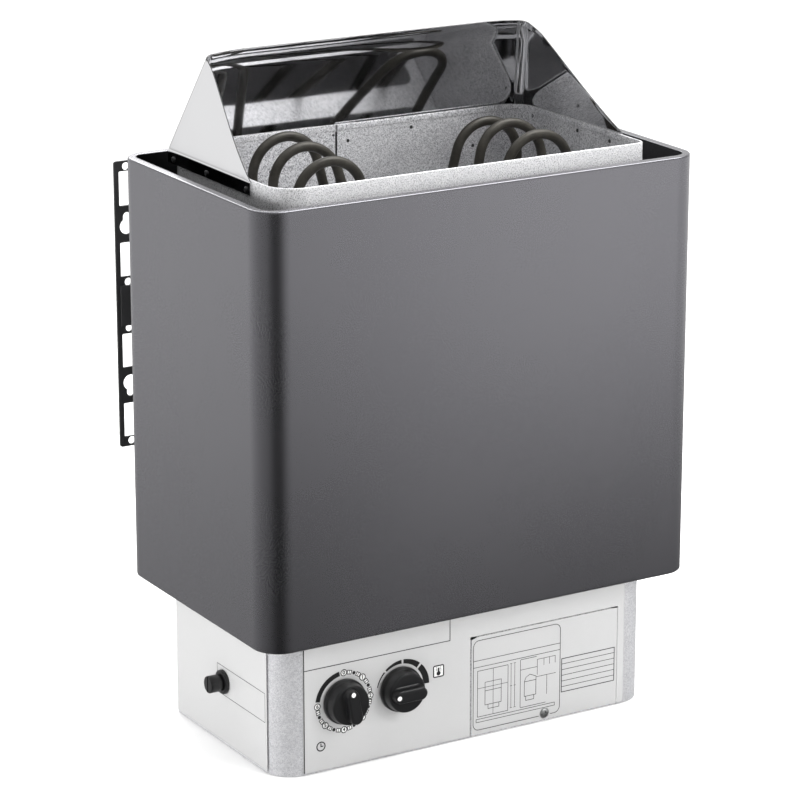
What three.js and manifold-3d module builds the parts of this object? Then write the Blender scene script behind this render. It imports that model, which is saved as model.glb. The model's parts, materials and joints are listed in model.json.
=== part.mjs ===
// Wall-hung electric sauna heater: painted outer casing around an open-topped
// galvanised stone chamber with three tubular heating elements, a polished
// splash guard behind and beside the stones, a control box below with a timer
// knob, a thermostat knob and a capped reset button, and a perforated wall rack.
// Millimetres, +Z up, front towards -Y, origin at the centre of the footprint.

import * as THREE from 'three';
import { mergeVertices } from 'three/addons/utils/BufferGeometryUtils.js';
import Module from 'manifold-3d';

const wasm = await Module();
wasm.setup();

// ---------------------------------------------------------------- dimensions
const GAP = 0.3; // clearance between touching pieces
const SHEET = 1.2; // casing and control box sheet

const CASING = { x: 203.5, front: -140, back: 103, bottom: 119.2, top: 477.5, rFront: 23, rBack: 21, lip: 9.5, rLip: 9 };
const LINER = { x: 171, front: -108.5, back: 81.5, bottom: 185, top: 485.5, r: 25, rSharp: 8, t: 1.0, seamX: -12, ledge: 12, ledgeZ: 369 };
const GUARD = { x: 172.3, back: 82.8, r: 9, t: 0.9, bottom: 473, bend: 486, top: 565, leanX: 0.2395, leanY: 0.4115, tip: { left: -63.5, right: -71 } };
// upper outline of the guard: heights round each top corner, then down the slanted front of each wing
const GUARD_CORNER = { shoulder: 112, drop: [562.4, 562.1, 561.7, 561.2, 560.6, 559.9, 559.1], wing: { left: [[38.5, 557.6], [34, 555.2], [28, 551]], right: [[34.5, 557.3], [27.5, 554.2], [19.6, 548.9]] } };
const RIVET_Z = 476.6;
const RIVETS = { left: [66, 9, -57], right: [60, -9, -57] };

const BOX = { x: 179.5, front: -113.1, back: 64.2, top: 150, r: 25, rBack: 2 };
const HATCH = { x0: 1.5, x1: 148, top: 88.8, screwX: 75, screwZ: 7 };
const FILM = { t: 0.4, x: 157, top: 118, sideFront: -95, sideBack: 62 };

const KNOB = { timerX: -119.8, thermoX: -66.8, z: 58.2, rSkirt: 19.2, rBody: 16.7, height: 20, bar: 11, barLength: 29.8 };
const TIMER_REST = 100; // pointer angle at rest, degrees from +X in the front view
const THERMO_REST = 180;
const RESET = { y: -22.1, z: 55.9, rCollar: 10.3, rCap: 7.3, capEnd: -195.3 };

const TUBE = 4.1; // heating element radius
const ARCH = { x: 98, half: 30.5, lean: 0.28, vBend: 18, tilt: 362, end: 131, stud: 110 };
const ELEMENTS = {
  // y and z of each arch, left and right, and y where the legs pass the chamber floor
  front: { yL: -58.5, yR: -58.5, zL: 491, zR: 491, fL: -58.5, fR: -58.5 },
  middle: { yL: -18, yR: -14, zL: 495, zR: 492, fL: -31, fR: -31 },
  rear: { yL: 13, yR: 20, zL: 497.5, zR: 487.5, fL: 13, fR: 20 },
};

const WALL = 140; // wall plane
const RACK = { x: 180, half: 11, t: 2, bottom: 216, top: 463 };
const BAR = { y: 124, t: 1.5, x: 150, bottom: 322, top: 357 };
const HANGER = { x: 90, half: 20 };
const LOCK_Z = 340;

// ---------------------------------------------------------------- materials
const finish = (color, roughness, metalness) => new THREE.MeshStandardMaterial({ color, roughness, metalness });
const M = {
  anthracite: finish(0x56565a, 0.45, 0.35),
  galvanised: finish(0xb9bdc0, 0.42, 0.9),
  mirror: finish(0xd8d9da, 0.06, 1.0),
  element: finish(0x3b3833, 0.5, 0.6),
  film: finish(0xd2d3d4, 0.38, 0.55),
  black: finish(0x1b1b1d, 0.42, 0.0),
  rack: finish(0x222224, 0.55, 0.3),
  zinc: finish(0xc4c6c4, 0.35, 0.95),
  ceramic: finish(0xe6e2d6, 0.6, 0.0),
  brass: finish(0xb08d4a, 0.35, 1.0),
  copper: finish(0xa9714b, 0.4, 1.0),
  silicone: finish(0xb8b2a4, 0.7, 0.0),
  phenolic: finish(0x3a3634, 0.6, 0.0),
};

// ---------------------------------------------------------------- shape helpers
const V = (x, y, z) => new THREE.Vector3(x, y, z);

// closed, merged geometry with its faces turned outwards
function closed(geometry) {
  let g = geometry.clone();
  for (const key of Object.keys(g.attributes)) if (key !== 'position') g.deleteAttribute(key);
  g = mergeVertices(g, 1e-4);
  const p = g.attributes.position;
  const src = g.index.array;
  const keep = [];
  let volume = 0;
  const a = V(0, 0, 0), b = V(0, 0, 0), c = V(0, 0, 0);
  for (let i = 0; i < src.length; i += 3) {
    if (src[i] === src[i + 1] || src[i + 1] === src[i + 2] || src[i] === src[i + 2]) continue;
    a.fromBufferAttribute(p, src[i]);
    b.fromBufferAttribute(p, src[i + 1]);
    c.fromBufferAttribute(p, src[i + 2]);
    volume += a.dot(b.clone().cross(c));
    keep.push(src[i], src[i + 1], src[i + 2]);
  }
  if (volume < 0) for (let i = 0; i < keep.length; i += 3) [keep[i + 1], keep[i + 2]] = [keep[i + 2], keep[i + 1]];
  g.setIndex(keep);
  return g;
}

function solid(geometry) {
  const g = closed(geometry);
  return new wasm.Manifold(new wasm.Mesh({
    numProp: 3,
    vertProperties: new Float32Array(g.attributes.position.array),
    triVerts: new Uint32Array(g.index.array),
  }));
}

function geometryOf(manifold) {
  const mesh = manifold.getMesh();
  const g = new THREE.BufferGeometry();
  g.setAttribute('position', new THREE.BufferAttribute(new Float32Array(mesh.vertProperties), 3));
  g.setIndex(new THREE.BufferAttribute(new Uint32Array(mesh.triVerts), 1));
  return g;
}

const cut = (a, ...tools) => geometryOf(tools.reduce((s, t) => s.subtract(solid(t)), solid(a)));
const join = (a, ...others) => geometryOf(others.reduce((s, t) => s.add(solid(t)), solid(a)));

// rounded rectangle; radii in the order front-left, front-right, back-right, back-left
function roundRect(x0, x1, y0, y1, r0, r1 = r0, r2 = r0, r3 = r0, Kind = THREE.Shape) {
  const s = new Kind();
  s.moveTo(x0 + r0, y0);
  s.lineTo(x1 - r1, y0);
  if (r1) s.absarc(x1 - r1, y0 + r1, r1, -Math.PI / 2, 0, false);
  s.lineTo(x1, y1 - r2);
  if (r2) s.absarc(x1 - r2, y1 - r2, r2, 0, Math.PI / 2, false);
  s.lineTo(x0 + r3, y1);
  if (r3) s.absarc(x0 + r3, y1 - r3, r3, Math.PI / 2, Math.PI, false);
  if (r0) {
    s.lineTo(x0, y0 + r0);
    s.absarc(x0 + r0, y0 + r0, r0, Math.PI, 1.5 * Math.PI, false);
  }
  return s;
}

function polygon(points) {
  const s = new THREE.Shape();
  points.forEach(([u, v], i) => (i ? s.lineTo(u, v) : s.moveTo(u, v)));
  return s;
}

function circle(u, v, r) {
  const p = new THREE.Path();
  p.absarc(u, v, r, 0, 2 * Math.PI, true);
  return p;
}

function withHoles(shape, ...holes) {
  shape.holes.push(...holes);
  return shape;
}

// straight prisms along each axis
function prismZ(shape, z0, z1, segments = 4) {
  const g = new THREE.ExtrudeGeometry(shape, { depth: z1 - z0, bevelEnabled: false, curveSegments: segments });
  return g.translate(0, 0, z0);
}

function prismY(shape, y0, y1, segments = 4) { // shape drawn in (x, z)
  const g = new THREE.ExtrudeGeometry(shape, { depth: y1 - y0, bevelEnabled: false, curveSegments: segments });
  return g.rotateX(Math.PI / 2).translate(0, y1, 0);
}

function prismX(shape, x0, x1, segments = 4) { // shape drawn in (y, z)
  const g = new THREE.ExtrudeGeometry(shape, { depth: x1 - x0, bevelEnabled: false, curveSegments: segments });
  g.applyMatrix4(new THREE.Matrix4().set(0, 0, 1, 0, 1, 0, 0, 0, 0, 1, 0, 0, 0, 0, 0, 1));
  return g.translate(x0, 0, 0);
}

const block = (x0, x1, y0, y1, z0, z1) =>
  new THREE.BoxGeometry(x1 - x0, y1 - y0, z1 - z0).translate((x0 + x1) / 2, (y0 + y1) / 2, (z0 + z1) / 2);

// turned pieces: profile of [radius, distance along the axis]
function turned(profile, segments, axis, at) {
  const g = new THREE.LatheGeometry(profile.map(([r, d]) => new THREE.Vector2(r, d)), segments);
  if (axis === 'x') g.rotateZ(-Math.PI / 2);
  if (axis === 'z') g.rotateX(Math.PI / 2);
  return g.translate(...at);
}

const rod = (r, d0, d1, segments, axis, at) => turned([[0, d0], [r, d0], [r, d1], [0, d1]], segments, axis, at);

// route through corner points [x, y, z, bend radius]
function filleted(corners, per90) {
  const v = corners.map((c) => V(c[0], c[1], c[2]));
  const out = [v[0]];
  for (let i = 1; i < v.length - 1; i++) {
    const r = corners[i][3] || 0;
    const d1 = v[i].clone().sub(v[i - 1]).normalize();
    const d2 = v[i + 1].clone().sub(v[i]).normalize();
    const angle = d1.angleTo(d2);
    if (!r || angle < 1e-3) { out.push(v[i]); continue; }
    const run = r * Math.tan(angle / 2);
    const start = v[i].clone().addScaledVector(d1, -run);
    const centre = v[i].clone().addScaledVector(d2.clone().sub(d1).normalize(), r / Math.cos(angle / 2));
    const axis = d1.clone().cross(d2).normalize();
    const n = Math.max(2, Math.ceil((per90 * angle) / (Math.PI / 2)));
    for (let k = 0; k <= n; k++) out.push(start.clone().sub(centre).applyAxisAngle(axis, (angle * k) / n).add(centre));
  }
  out.push(v[v.length - 1]);
  return out.filter((p, i) => i === 0 || p.distanceTo(out[i - 1]) > 1e-2);
}

class Route extends THREE.Curve {
  constructor(points) {
    super();
    this.points = points;
  }
  getPoint(t, target = new THREE.Vector3()) {
    const n = this.points.length - 1;
    const k = Math.min(Math.floor(t * n + 1e-9), n - 1);
    return target.lerpVectors(this.points[k], this.points[k + 1], t * n - k);
  }
  getPointAt(u, target) {
    return this.getPoint(u, target);
  }
  getTangentAt(u, target = new THREE.Vector3()) {
    const n = this.points.length - 1;
    const i = Math.round(u * n);
    const before = i > 0 ? this.points[i].clone().sub(this.points[i - 1]).normalize() : V(0, 0, 0);
    const after = i < n ? this.points[i + 1].clone().sub(this.points[i]).normalize() : V(0, 0, 0);
    return target.copy(before.add(after).normalize());
  }
}

function tube(corners, radius, sides, per90 = 5) {
  const points = filleted(corners, per90);
  const section = new THREE.Shape();
  for (let i = 0; i < sides; i++) {
    const a = (2 * Math.PI * i) / sides;
    if (i) section.lineTo(radius * Math.cos(a), radius * Math.sin(a));
    else section.moveTo(radius, 0);
  }
  return new THREE.ExtrudeGeometry(section, { steps: points.length - 1, extrudePath: new Route(points) });
}

// sheet between two matching point sets, closed along its free edges
function thickened(outer, inner, triangles) {
  const n = outer.length;
  const index = [];
  const edges = new Map();
  for (const [a, b, c] of triangles) {
    index.push(a, b, c, n + a, n + c, n + b);
    for (const [p, q] of [[a, b], [b, c], [c, a]]) {
      if (edges.has(`${q},${p}`)) edges.delete(`${q},${p}`);
      else edges.set(`${p},${q}`, [p, q]);
    }
  }
  for (const [p, q] of edges.values()) index.push(q, p, n + p, q, n + p, n + q);
  const g = new THREE.BufferGeometry();
  g.setAttribute('position', new THREE.BufferAttribute(new Float32Array([...outer, ...inner].flat()), 3));
  g.setIndex(index);
  return g;
}

const heater = new THREE.Group();
heater.name = 'sauna_heater';

function add(name, geometry, material, parent = heater) {
  const g = closed(geometry);
  g.computeVertexNormals();
  const mesh = new THREE.Mesh(g, material);
  mesh.name = name;
  parent.add(mesh);
  return mesh;
}

const SIDES = [['left', -1], ['right', 1]];
const span = (sign, near, far) => (sign < 0 ? [-far, -near] : [near, far]); // x interval on one side

// ---------------------------------------------------------------- outer casing
{
  const c = CASING;
  const outline = (d, r0, r1) => roundRect(-c.x + d, c.x - d, c.front + d, c.back - d, r0, r0, r1, r1);
  const shell = prismZ(outline(0, c.rFront, c.rBack), c.bottom, c.top);
  const cavity = prismZ(outline(SHEET, c.rFront - SHEET, c.rBack - SHEET), c.bottom + SHEET, c.top - SHEET);
  const mouth = prismZ(outline(c.lip, c.rLip, c.rLip), c.bottom - 5, c.top + 5, 3);
  add('outer_casing', cut(shell, cavity, mouth), M.anthracite);
}

// ---------------------------------------------------------------- stone chamber
const legHoles = (r, z0, z1) => Object.values(ELEMENTS).flatMap((e) => [
  rod(r, z0, z1, 12, 'z', [-ARCH.x - ARCH.half, e.fL, 0]),
  rod(r, z0, z1, 12, 'z', [ARCH.x + ARCH.half, e.fR, 0]),
]);
const shankHoles = SIDES.flatMap(([side, sign]) =>
  RIVETS[side].map((y) => rod(1.9, sign * 160, sign * 185, 8, 'x', [0, y, RIVET_Z])));

{
  // one wrapped sheet whose right end laps inside its left end on the back wall
  const l = LINER;
  const arc = (cx, cy, r, from) => Array.from({ length: 7 }, (_, k) => {
    const a = ((from + (k * 90) / 6) * Math.PI) / 180;
    return [cx + r * Math.cos(a), cy + r * Math.sin(a)];
  });
  const wrap = (d) => {
    const x = l.x - d, f = l.front + d, b = l.back - d, r = l.r - d, cx = l.x - l.r;
    const lapped = b - l.t - GAP;
    return [
      [6, b],
      ...arc(-cx, l.back - l.r, r, 90),
      ...arc(-cx, l.front + l.r, r, 180),
      ...arc(l.x - l.rSharp, l.front + l.rSharp, l.rSharp - d, 270),
      ...arc(cx, l.back - l.r - l.t - GAP, r, 0),
      [l.seamX, lapped],
    ];
  };
  const wall = prismZ(polygon([...wrap(0), ...wrap(l.t).reverse()]), l.bottom, l.top);
  const ledge = prismZ(withHoles(
    roundRect(-l.x + 0.5, l.x - 0.5, l.front + 0.5, l.back - 1.5, l.r - 0.5, l.rSharp - 0.5, l.r - 0.5, l.r - 0.5),
    roundRect(-l.x + l.ledge, l.x - l.ledge, l.front + l.ledge, l.back - l.ledge, 14, 14, 14, 14, THREE.Path),
  ), l.ledgeZ, l.ledgeZ + 1.2);
  add('stone_liner', cut(join(wall, ledge), ...shankHoles), M.galvanised);

  // plate that carries the stones, with two long slots for air and for the legs of the elements
  const z = l.ledgeZ + 1.2 + GAP;
  const openings = [[-64, -25], [-3, 36]].map(([y0, y1]) => prismZ(roundRect(-157, 157, y0, y1, 10), z - 5, z + 5));
  add('stone_floor', cut(prismZ(roundRect(-169, 169, -106.5, 77.5, 22), z, z + 1.5, 3), ...openings), M.galvanised);
}

// ---------------------------------------------------------------- splash guard
{
  // columns of the folded sheet: left tip, left wing, left bend, back wall, right bend, right wing, right tip
  const g = GUARD, corner = GUARD_CORNER;
  const xAt = (z, d) => g.x - d - g.leanX * Math.max(0, z - g.bend);
  const backAt = (z, d) => g.back - d - g.leanY * Math.max(0, z - g.bend);
  const wing = (sign, y, z, d) => [sign * xAt(z, d), y, z];
  const fold = (sign, k, z, d) => { // k from 0 on the back wall to 6 on the wing
    const a = Math.PI / 2 - (k * Math.PI) / 12, r = g.r - d;
    return [sign * (xAt(z, d) - r + r * Math.cos(a)), backAt(z, d) - r + r * Math.sin(a), z];
  };
  const half = (sign, d, zFold, wingPoints) => [
    [sign * corner.shoulder, backAt(zFold(-1), d), zFold(-1)],
    ...corner.drop.map((_, k) => fold(sign, k, zFold(k), d)),
    ...wingPoints.map(([y, z]) => wing(sign, y, z, d)),
  ];
  const level = (d, z) => {
    const row = (side, sign) => half(sign, d, () => z, [[62, z], [48, z], [30, z], [g.tip[side], z]]);
    return [...row('left', -1).reverse(), ...row('right', 1)];
  };
  const crest = (d) => {
    const row = (side, sign) => half(sign, d, (k) => (k < 0 ? g.top : corner.drop[k]), corner.wing[side]);
    return [...row('left', -1).reverse(), ...row('right', 1)];
  };
  const skin = (d) => [...level(d, g.bottom), ...level(d, g.bend), ...crest(d)];
  const n = level(0, g.bend).length;
  const triangles = [];
  for (let j = 0; j < n - 1; j++) triangles.push([j, j + 1, n + j], [j + 1, n + j + 1, n + j]);
  triangles.push([n, n + 1, 2 * n], [2 * n - 2, 2 * n - 1, 3 * n - 3]);
  for (let j = 0; j < n - 3; j++) triangles.push([n + 1 + j, n + 2 + j, 2 * n + j], [n + 2 + j, 2 * n + 1 + j, 2 * n + j]);
  add('heat_guard', cut(thickened(skin(0), skin(g.t), triangles), ...shankHoles), M.mirror);

  for (const [side, sign] of SIDES) {
    RIVETS[side].forEach((y, i) => {
      const profile = [[0, 169.1], [1.6, 169.1], [1.6, g.x + GAP], [3, g.x + GAP], [2.7, g.x + 1], [1.6, g.x + 1.5], [0, g.x + 1.6]];
      add(`guard_rivet_${side}_${i + 1}`, turned(profile.map(([r, d]) => [r, sign * d]), 10, 'x', [0, y, RIVET_Z]), M.zinc);
    });
  }
}

// ---------------------------------------------------------------- heating elements
for (const [name, e] of Object.entries(ELEMENTS)) {
  // upright outer legs, an arch each side, and inner legs that lean to a V at the middle
  const xo = ARCH.x + ARCH.half, r = ARCH.half, k = ARCH.lean;
  const xi = ARCH.x - r / Math.hypot(1, k) + k * (r - (r * k) / Math.hypot(1, k));
  const bent = (sign, y, z, f) => [
    ...(f === y ? [] : [[sign * xo, f, ARCH.tilt, 40]]),
    [sign * xo, y, z, r], [sign * xi, y, z, r],
    ...(f === y ? [] : [[sign * (xi - k * (z - ARCH.tilt)), f, ARCH.tilt, 40]]),
  ];
  const sheath = tube([
    [-xo, e.fL, ARCH.end], ...bent(-1, e.yL, e.zL, e.fL),
    [0, (e.fL + e.fR) / 2, (e.zL + e.zR) / 2 - xi / k, ARCH.vBend],
    ...bent(1, e.yR, e.zR, e.fR).reverse(), [xo, e.fR, ARCH.end],
  ], TUBE, 10);
  const stud = (x, y) => rod(2, ARCH.stud, ARCH.end + 4, 8, 'z', [x, y, 0]);
  add(`element_${name}`, join(sheath, stud(-xo, e.fL), stud(xo, e.fR)), M.element);

  const top = BOX.top + GAP + SHEET;
  const bush = [[TUBE + 0.35, top - 6], [6, top - 6], [6, top + GAP], [9, top + GAP], [9, top + 3.6], [7.4, top + 4.6], [TUBE + 0.35, top + 4.6], [TUBE + 0.35, top - 6]];
  add(`element_bush_${name}_left`, turned(bush, 12, 'z', [-xo, e.fL, 0]), M.ceramic);
  add(`element_bush_${name}_right`, turned(bush, 12, 'z', [xo, e.fR, 0]), M.ceramic);
}

{
  const x = -(ARCH.x + ARCH.half);
  const holes = Object.values(ELEMENTS).map((e) => rod(2.4, 110, 120, 10, 'z', [x, e.fL, 0]));
  add('element_link_bar', cut(prismZ(roundRect(x - 6, x + 6, -66, 21, 3), 114, 116, 3), ...holes), M.brass);
}

// ---------------------------------------------------------------- control box
const boxOutline = (d, Kind = THREE.Shape) => {
  const rf = BOX.r - d, rb = Math.max(BOX.rBack - d, 0.4);
  return roundRect(-BOX.x + d, BOX.x - d, BOX.front + d, BOX.back - d, rf, rf, rb, rb, Kind);
};
const GLAND = { x: 112, z: 42 };

{
  const ring = prismZ(withHoles(boxOutline(0), boxOutline(SHEET, THREE.Path)), 0, BOX.top);
  add('control_box', cut(
    ring,
    block(HATCH.x0, HATCH.x1, BOX.front - 4, BOX.front + 3, -5, HATCH.top),
    rod(5.5, BOX.front - 4, BOX.front + 4, 12, 'y', [KNOB.timerX, 0, KNOB.z]),
    rod(5.5, BOX.front - 4, BOX.front + 4, 12, 'y', [KNOB.thermoX, 0, KNOB.z]),
    rod(5.6, -BOX.x - 4, -BOX.x + 4, 12, 'x', [0, RESET.y, RESET.z]),
    rod(8.5, BOX.back - 4, BOX.back + 4, 12, 'y', [GLAND.x, 0, GLAND.z]),
  ), M.galvanised);

  const holes = legHoles(6.4, BOX.top - 5, BOX.top + 8);
  for (const x of [KNOB.thermoX, -105]) holes.push(rod(3, BOX.top - 5, BOX.top + 8, 10, 'z', [x, 48, 0]));
  const lid = prismZ(boxOutline(0), BOX.top + GAP, BOX.top + GAP + SHEET);
  const skirt = prismZ(withHoles(boxOutline(SHEET + GAP), boxOutline(2 * SHEET + GAP, THREE.Path)), BOX.top - 12, BOX.top + GAP + 0.4);
  add('control_box_lid', cut(join(lid, skirt), ...holes), M.galvanised);

  const floor = prismZ(boxOutline(SHEET + GAP), 0, SHEET);
  const rim = prismZ(withHoles(boxOutline(SHEET + GAP), boxOutline(2 * SHEET + GAP, THREE.Path)), 0, 14);
  add('control_box_base', cut(join(floor, rim), rod(2.1, BOX.front - 4, BOX.front + 6, 8, 'y', [HATCH.screwX, 0, HATCH.screwZ])), M.galvanised);
}

// removable service hatch: flush plate, return flanges and two tabs behind the front wall
{
  const f = BOX.front;
  const [x0, x1, z1] = [HATCH.x0 + 0.5, HATCH.x1 - 0.5, HATCH.top - 0.5];
  const plate = prismY(polygon([[x0, 0.4], [x1, 0.4], [x1, z1 - 2], [x1 - 6, z1 - 2], [x1 - 6, z1], [x0 + 6, z1], [x0 + 6, z1 - 2], [x0, z1 - 2]]), f, f + SHEET);
  add('service_hatch', cut(
    join(
      plate,
      block(x0, x0 + SHEET, f + 0.2, f + 9, 17, z1 - 8),
      block(x1 - SHEET, x1, f + 0.2, f + 9, 17, z1 - 8),
      block(x0 + 8, x1 - 8, f + 0.2, f + 9, z1 - SHEET, z1),
      block(x0 + 18, x0 + 38, f + SHEET + 0.4, f + 2 * SHEET + 0.4, z1 - SHEET, z1 + 9),
      block(x1 - 38, x1 - 18, f + SHEET + 0.4, f + 2 * SHEET + 0.4, z1 - SHEET, z1 + 9),
    ),
    rod(2.1, f - 4, f + 4, 8, 'y', [HATCH.screwX, 0, HATCH.screwZ]),
  ), M.galvanised);

  const head = [[0, f - 2.6], [2.4, f - 2.4], [4, f - 1.5], [4.2, f - GAP], [1.75, f - GAP], [1.75, f + 9], [0, f + 9]];
  add('hatch_screw', turned(head, 10, 'y', [HATCH.screwX, 0, HATCH.screwZ]), M.zinc);
}

// smooth overlay sheets on the front, the hatch and the left side
{
  const y = BOX.front - GAP;
  const front = polygon([
    [-FILM.x, 1.5], [HATCH.x0 - 0.6, 1.5], [HATCH.x0 - 0.6, HATCH.top + 0.6], [HATCH.x1 - 0.5, HATCH.top + 0.6],
    [HATCH.x1 - 0.5, FILM.top], [-FILM.x, FILM.top],
  ]);
  add('front_film', prismY(withHoles(front, circle(KNOB.timerX, KNOB.z, 6), circle(KNOB.thermoX, KNOB.z, 6)), y - FILM.t, y, 6), M.film);
  add('hatch_film', prismY(withHoles(roundRect(HATCH.x0 + 1.5, HATCH.x1 - 1.5, 1.5, HATCH.top - 3.4, 1), circle(HATCH.screwX, HATCH.screwZ, 5)), y - FILM.t, y, 6), M.film);
  const side = withHoles(roundRect(FILM.sideFront, FILM.sideBack, 2.5, FILM.top, 1), circle(RESET.y, RESET.z, 6.2));
  add('side_film', prismX(side, -BOX.x - GAP - FILM.t, -BOX.x - GAP, 6), M.film);
}

// ---------------------------------------------------------------- knobs and controls
function knob(name, x, rest, material) {
  const holder = new THREE.Group();
  holder.position.set(x, BOX.front - GAP - FILM.t - 0.8, KNOB.z);
  holder.rotation.y = (-rest * Math.PI) / 180;
  heater.add(holder);
  // skirt and body turned about the spindle, grip bar along local +X towards the pointer
  const h = KNOB.height;
  const body = turned([
    [0, 0], [KNOB.rSkirt, 0], [KNOB.rSkirt, -3.4], [KNOB.rSkirt - 1.4, -4.8], [KNOB.rBody + 0.8, -5.6],
    [KNOB.rBody, -11.6], [KNOB.rBody - 1.4, -13], [0, -13],
  ], 28, 'y', [0, 0, 0]);
  const w = KNOB.bar / 2, half = KNOB.barLength / 2;
  const grip = new THREE.Shape();
  grip.moveTo(-half + w, -w);
  grip.lineTo(half - w, -w);
  grip.absarc(half - w, 0, w, -Math.PI / 2, Math.PI / 2, false);
  grip.lineTo(-half + w, w);
  grip.absarc(-half + w, 0, w, Math.PI / 2, 1.5 * Math.PI, false);
  const bore = rod(3.35, 2, -10, 12, 'y', [0, 0, 0]);
  add(`${name}_knob`, cut(join(body, prismY(grip, -h, -9, 4)), bore), material, holder);
  add(`${name}_spindle`, rod(3, -9.5, 27, 12, 'y', [0, 0, 0]), M.zinc, holder);
}
knob('timer', KNOB.timerX, TIMER_REST, M.black);
knob('thermostat', KNOB.thermoX, THERMO_REST, M.black);

{
  // switch housings behind the front panel, each with a clearance bore for its spindle
  const y = BOX.front + SHEET + GAP;
  const z = KNOB.z;
  const housing = (x, w, h, depth) =>
    prismY(withHoles(roundRect(x - w, x + w, z - h, z + h, 3), circle(x, z, 3.4)), y, y + depth, 6);
  add('timer_body', housing(KNOB.timerX, 23, 23, 34), M.phenolic);
  add('thermostat_body', housing(KNOB.thermoX, 18, 19, 30), M.phenolic);
  add('limiter_body', block(-167.5, -143, RESET.y - 17, RESET.y + 17, RESET.z - 17, RESET.z + 17), M.phenolic);

  // capillary tubes: the thermostat's bulb lies in the air inlet, the limiter's stands behind the chamber's left rear corner
  const rear = y + 30 + GAP;
  const thermo = tube([[KNOB.thermoX, rear, z + 12], [KNOB.thermoX, 48, z + 12, 14], [KNOB.thermoX, 48, 166, 8], [KNOB.thermoX + 20, 48, 166]], 1, 6, 4);
  add('thermostat_capillary', join(thermo, rod(3.5, KNOB.thermoX + 18, KNOB.thermoX + 100, 10, 'x', [0, 48, 166])), M.copper);
  const limit = tube([[-143 + GAP, RESET.y, 68], [-105, RESET.y, 68, 12], [-105, 48, 68, 12], [-105, 48, 164, 10], [-166, 70, 164, 10], [-166, 91, 164, 10], [-166, 91, 305]], 1, 6, 4);
  add('limiter_capillary', join(limit, rod(3.5, 303, 375, 10, 'z', [-166, 91, 0])), M.copper);
}

{
  // reset button: collared bush through the side wall, sprung plunger, screwed cap
  const at = [0, RESET.y, RESET.z];
  const collar = -BOX.x - GAP - FILM.t - GAP;
  const bush = [[2.1, -168], [5, -168], [5, collar], [RESET.rCollar, collar], [RESET.rCollar, collar - 2.2], [RESET.rCollar - 1.2, collar - 3.2], [5, collar - 3.2], [5, -190.5], [2.1, -190.5], [2.1, -168]];
  add('reset_bush', turned(bush, 20, 'x', at), M.black);
  add('reset_plunger', rod(1.75, -170.4, -192.3, 10, 'x', at), M.ceramic);
  const mouth = collar - 3.2 - GAP;
  const cap = turned([[0, RESET.capEnd], [RESET.rCap - 0.6, RESET.capEnd], [RESET.rCap, RESET.capEnd + 0.6], [RESET.rCap, mouth], [5.4, mouth], [5.4, RESET.capEnd + 1.9], [0, RESET.capEnd + 1.9]], 20, 'x', at);
  add('reset_cap', cut(cap, block(RESET.capEnd - 1, RESET.capEnd + 1, RESET.y - 0.7, RESET.y + 0.7, RESET.z - 9, RESET.z + 9)), M.black);
}

{
  // mains terminals behind the hatch, leads to the right-hand studs, cable inlet in the back wall
  const wells = [0, 1, 2, 3, 4].map((i) => block(42 + i * 14, 50 + i * 14, -70, -58, 12, 40));
  add('terminal_block', cut(prismZ(roundRect(36, 112, -76, -46, 3), SHEET + GAP, 27, 3), ...wells), M.phenolic);
  const x = ARCH.x + ARCH.half;
  Object.entries(ELEMENTS).forEach(([name, e], i) => {
    const sx = 104 - 22 * i;
    add(`element_lead_${name}`, tube([[sx, -51, 27 + GAP], [sx, -51, 60 + 12 * i, 12], [x, e.fR, 60 + 12 * i, 12], [x, e.fR, ARCH.stud - GAP]], 1.6, 6, 4), M.silicone);
  });
  const b = BOX.back;
  const gland = [[5, b - 12], [8, b - 12], [8, b + GAP], [13, b + GAP], [13, b + 5], [10.5, b + 6], [10.5, b + 16], [8.5, b + 19], [5, b + 19], [5, b - 12]];
  add('cable_gland', turned(gland, 16, 'y', [GLAND.x, 0, GLAND.z]), M.black);
}

// ---------------------------------------------------------------- brackets inside the casing
for (const [side, sign] of SIDES) {
  const lidTop = BOX.top + 2 * GAP + SHEET;
  const foot = [[145, lidTop], [172.8, lidTop], [172.8, 232], [171.3, 232], [171.3, lidTop + 1.5], [145, lidTop + 1.5]];
  add(`liner_support_${side}`, prismY(polygon(foot.map(([x, z]) => [sign * x, z])), -80, 46), M.galvanised);
  const wall = CASING.x - SHEET - GAP;
  const step = [[171.3, 300], [wall - 1.5, 300], [wall - 1.5, 279], [wall, 279], [wall, 301.5], [172.8, 301.5], [172.8, 322], [171.3, 322]];
  add(`casing_spacer_${side}_front`, prismY(polygon(step.map(([x, z]) => [sign * x, z])), -82, -58), M.galvanised);
  add(`casing_spacer_${side}_rear`, prismY(polygon(step.map(([x, z]) => [sign * x, z])), 28, 52), M.galvanised);
}

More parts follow.
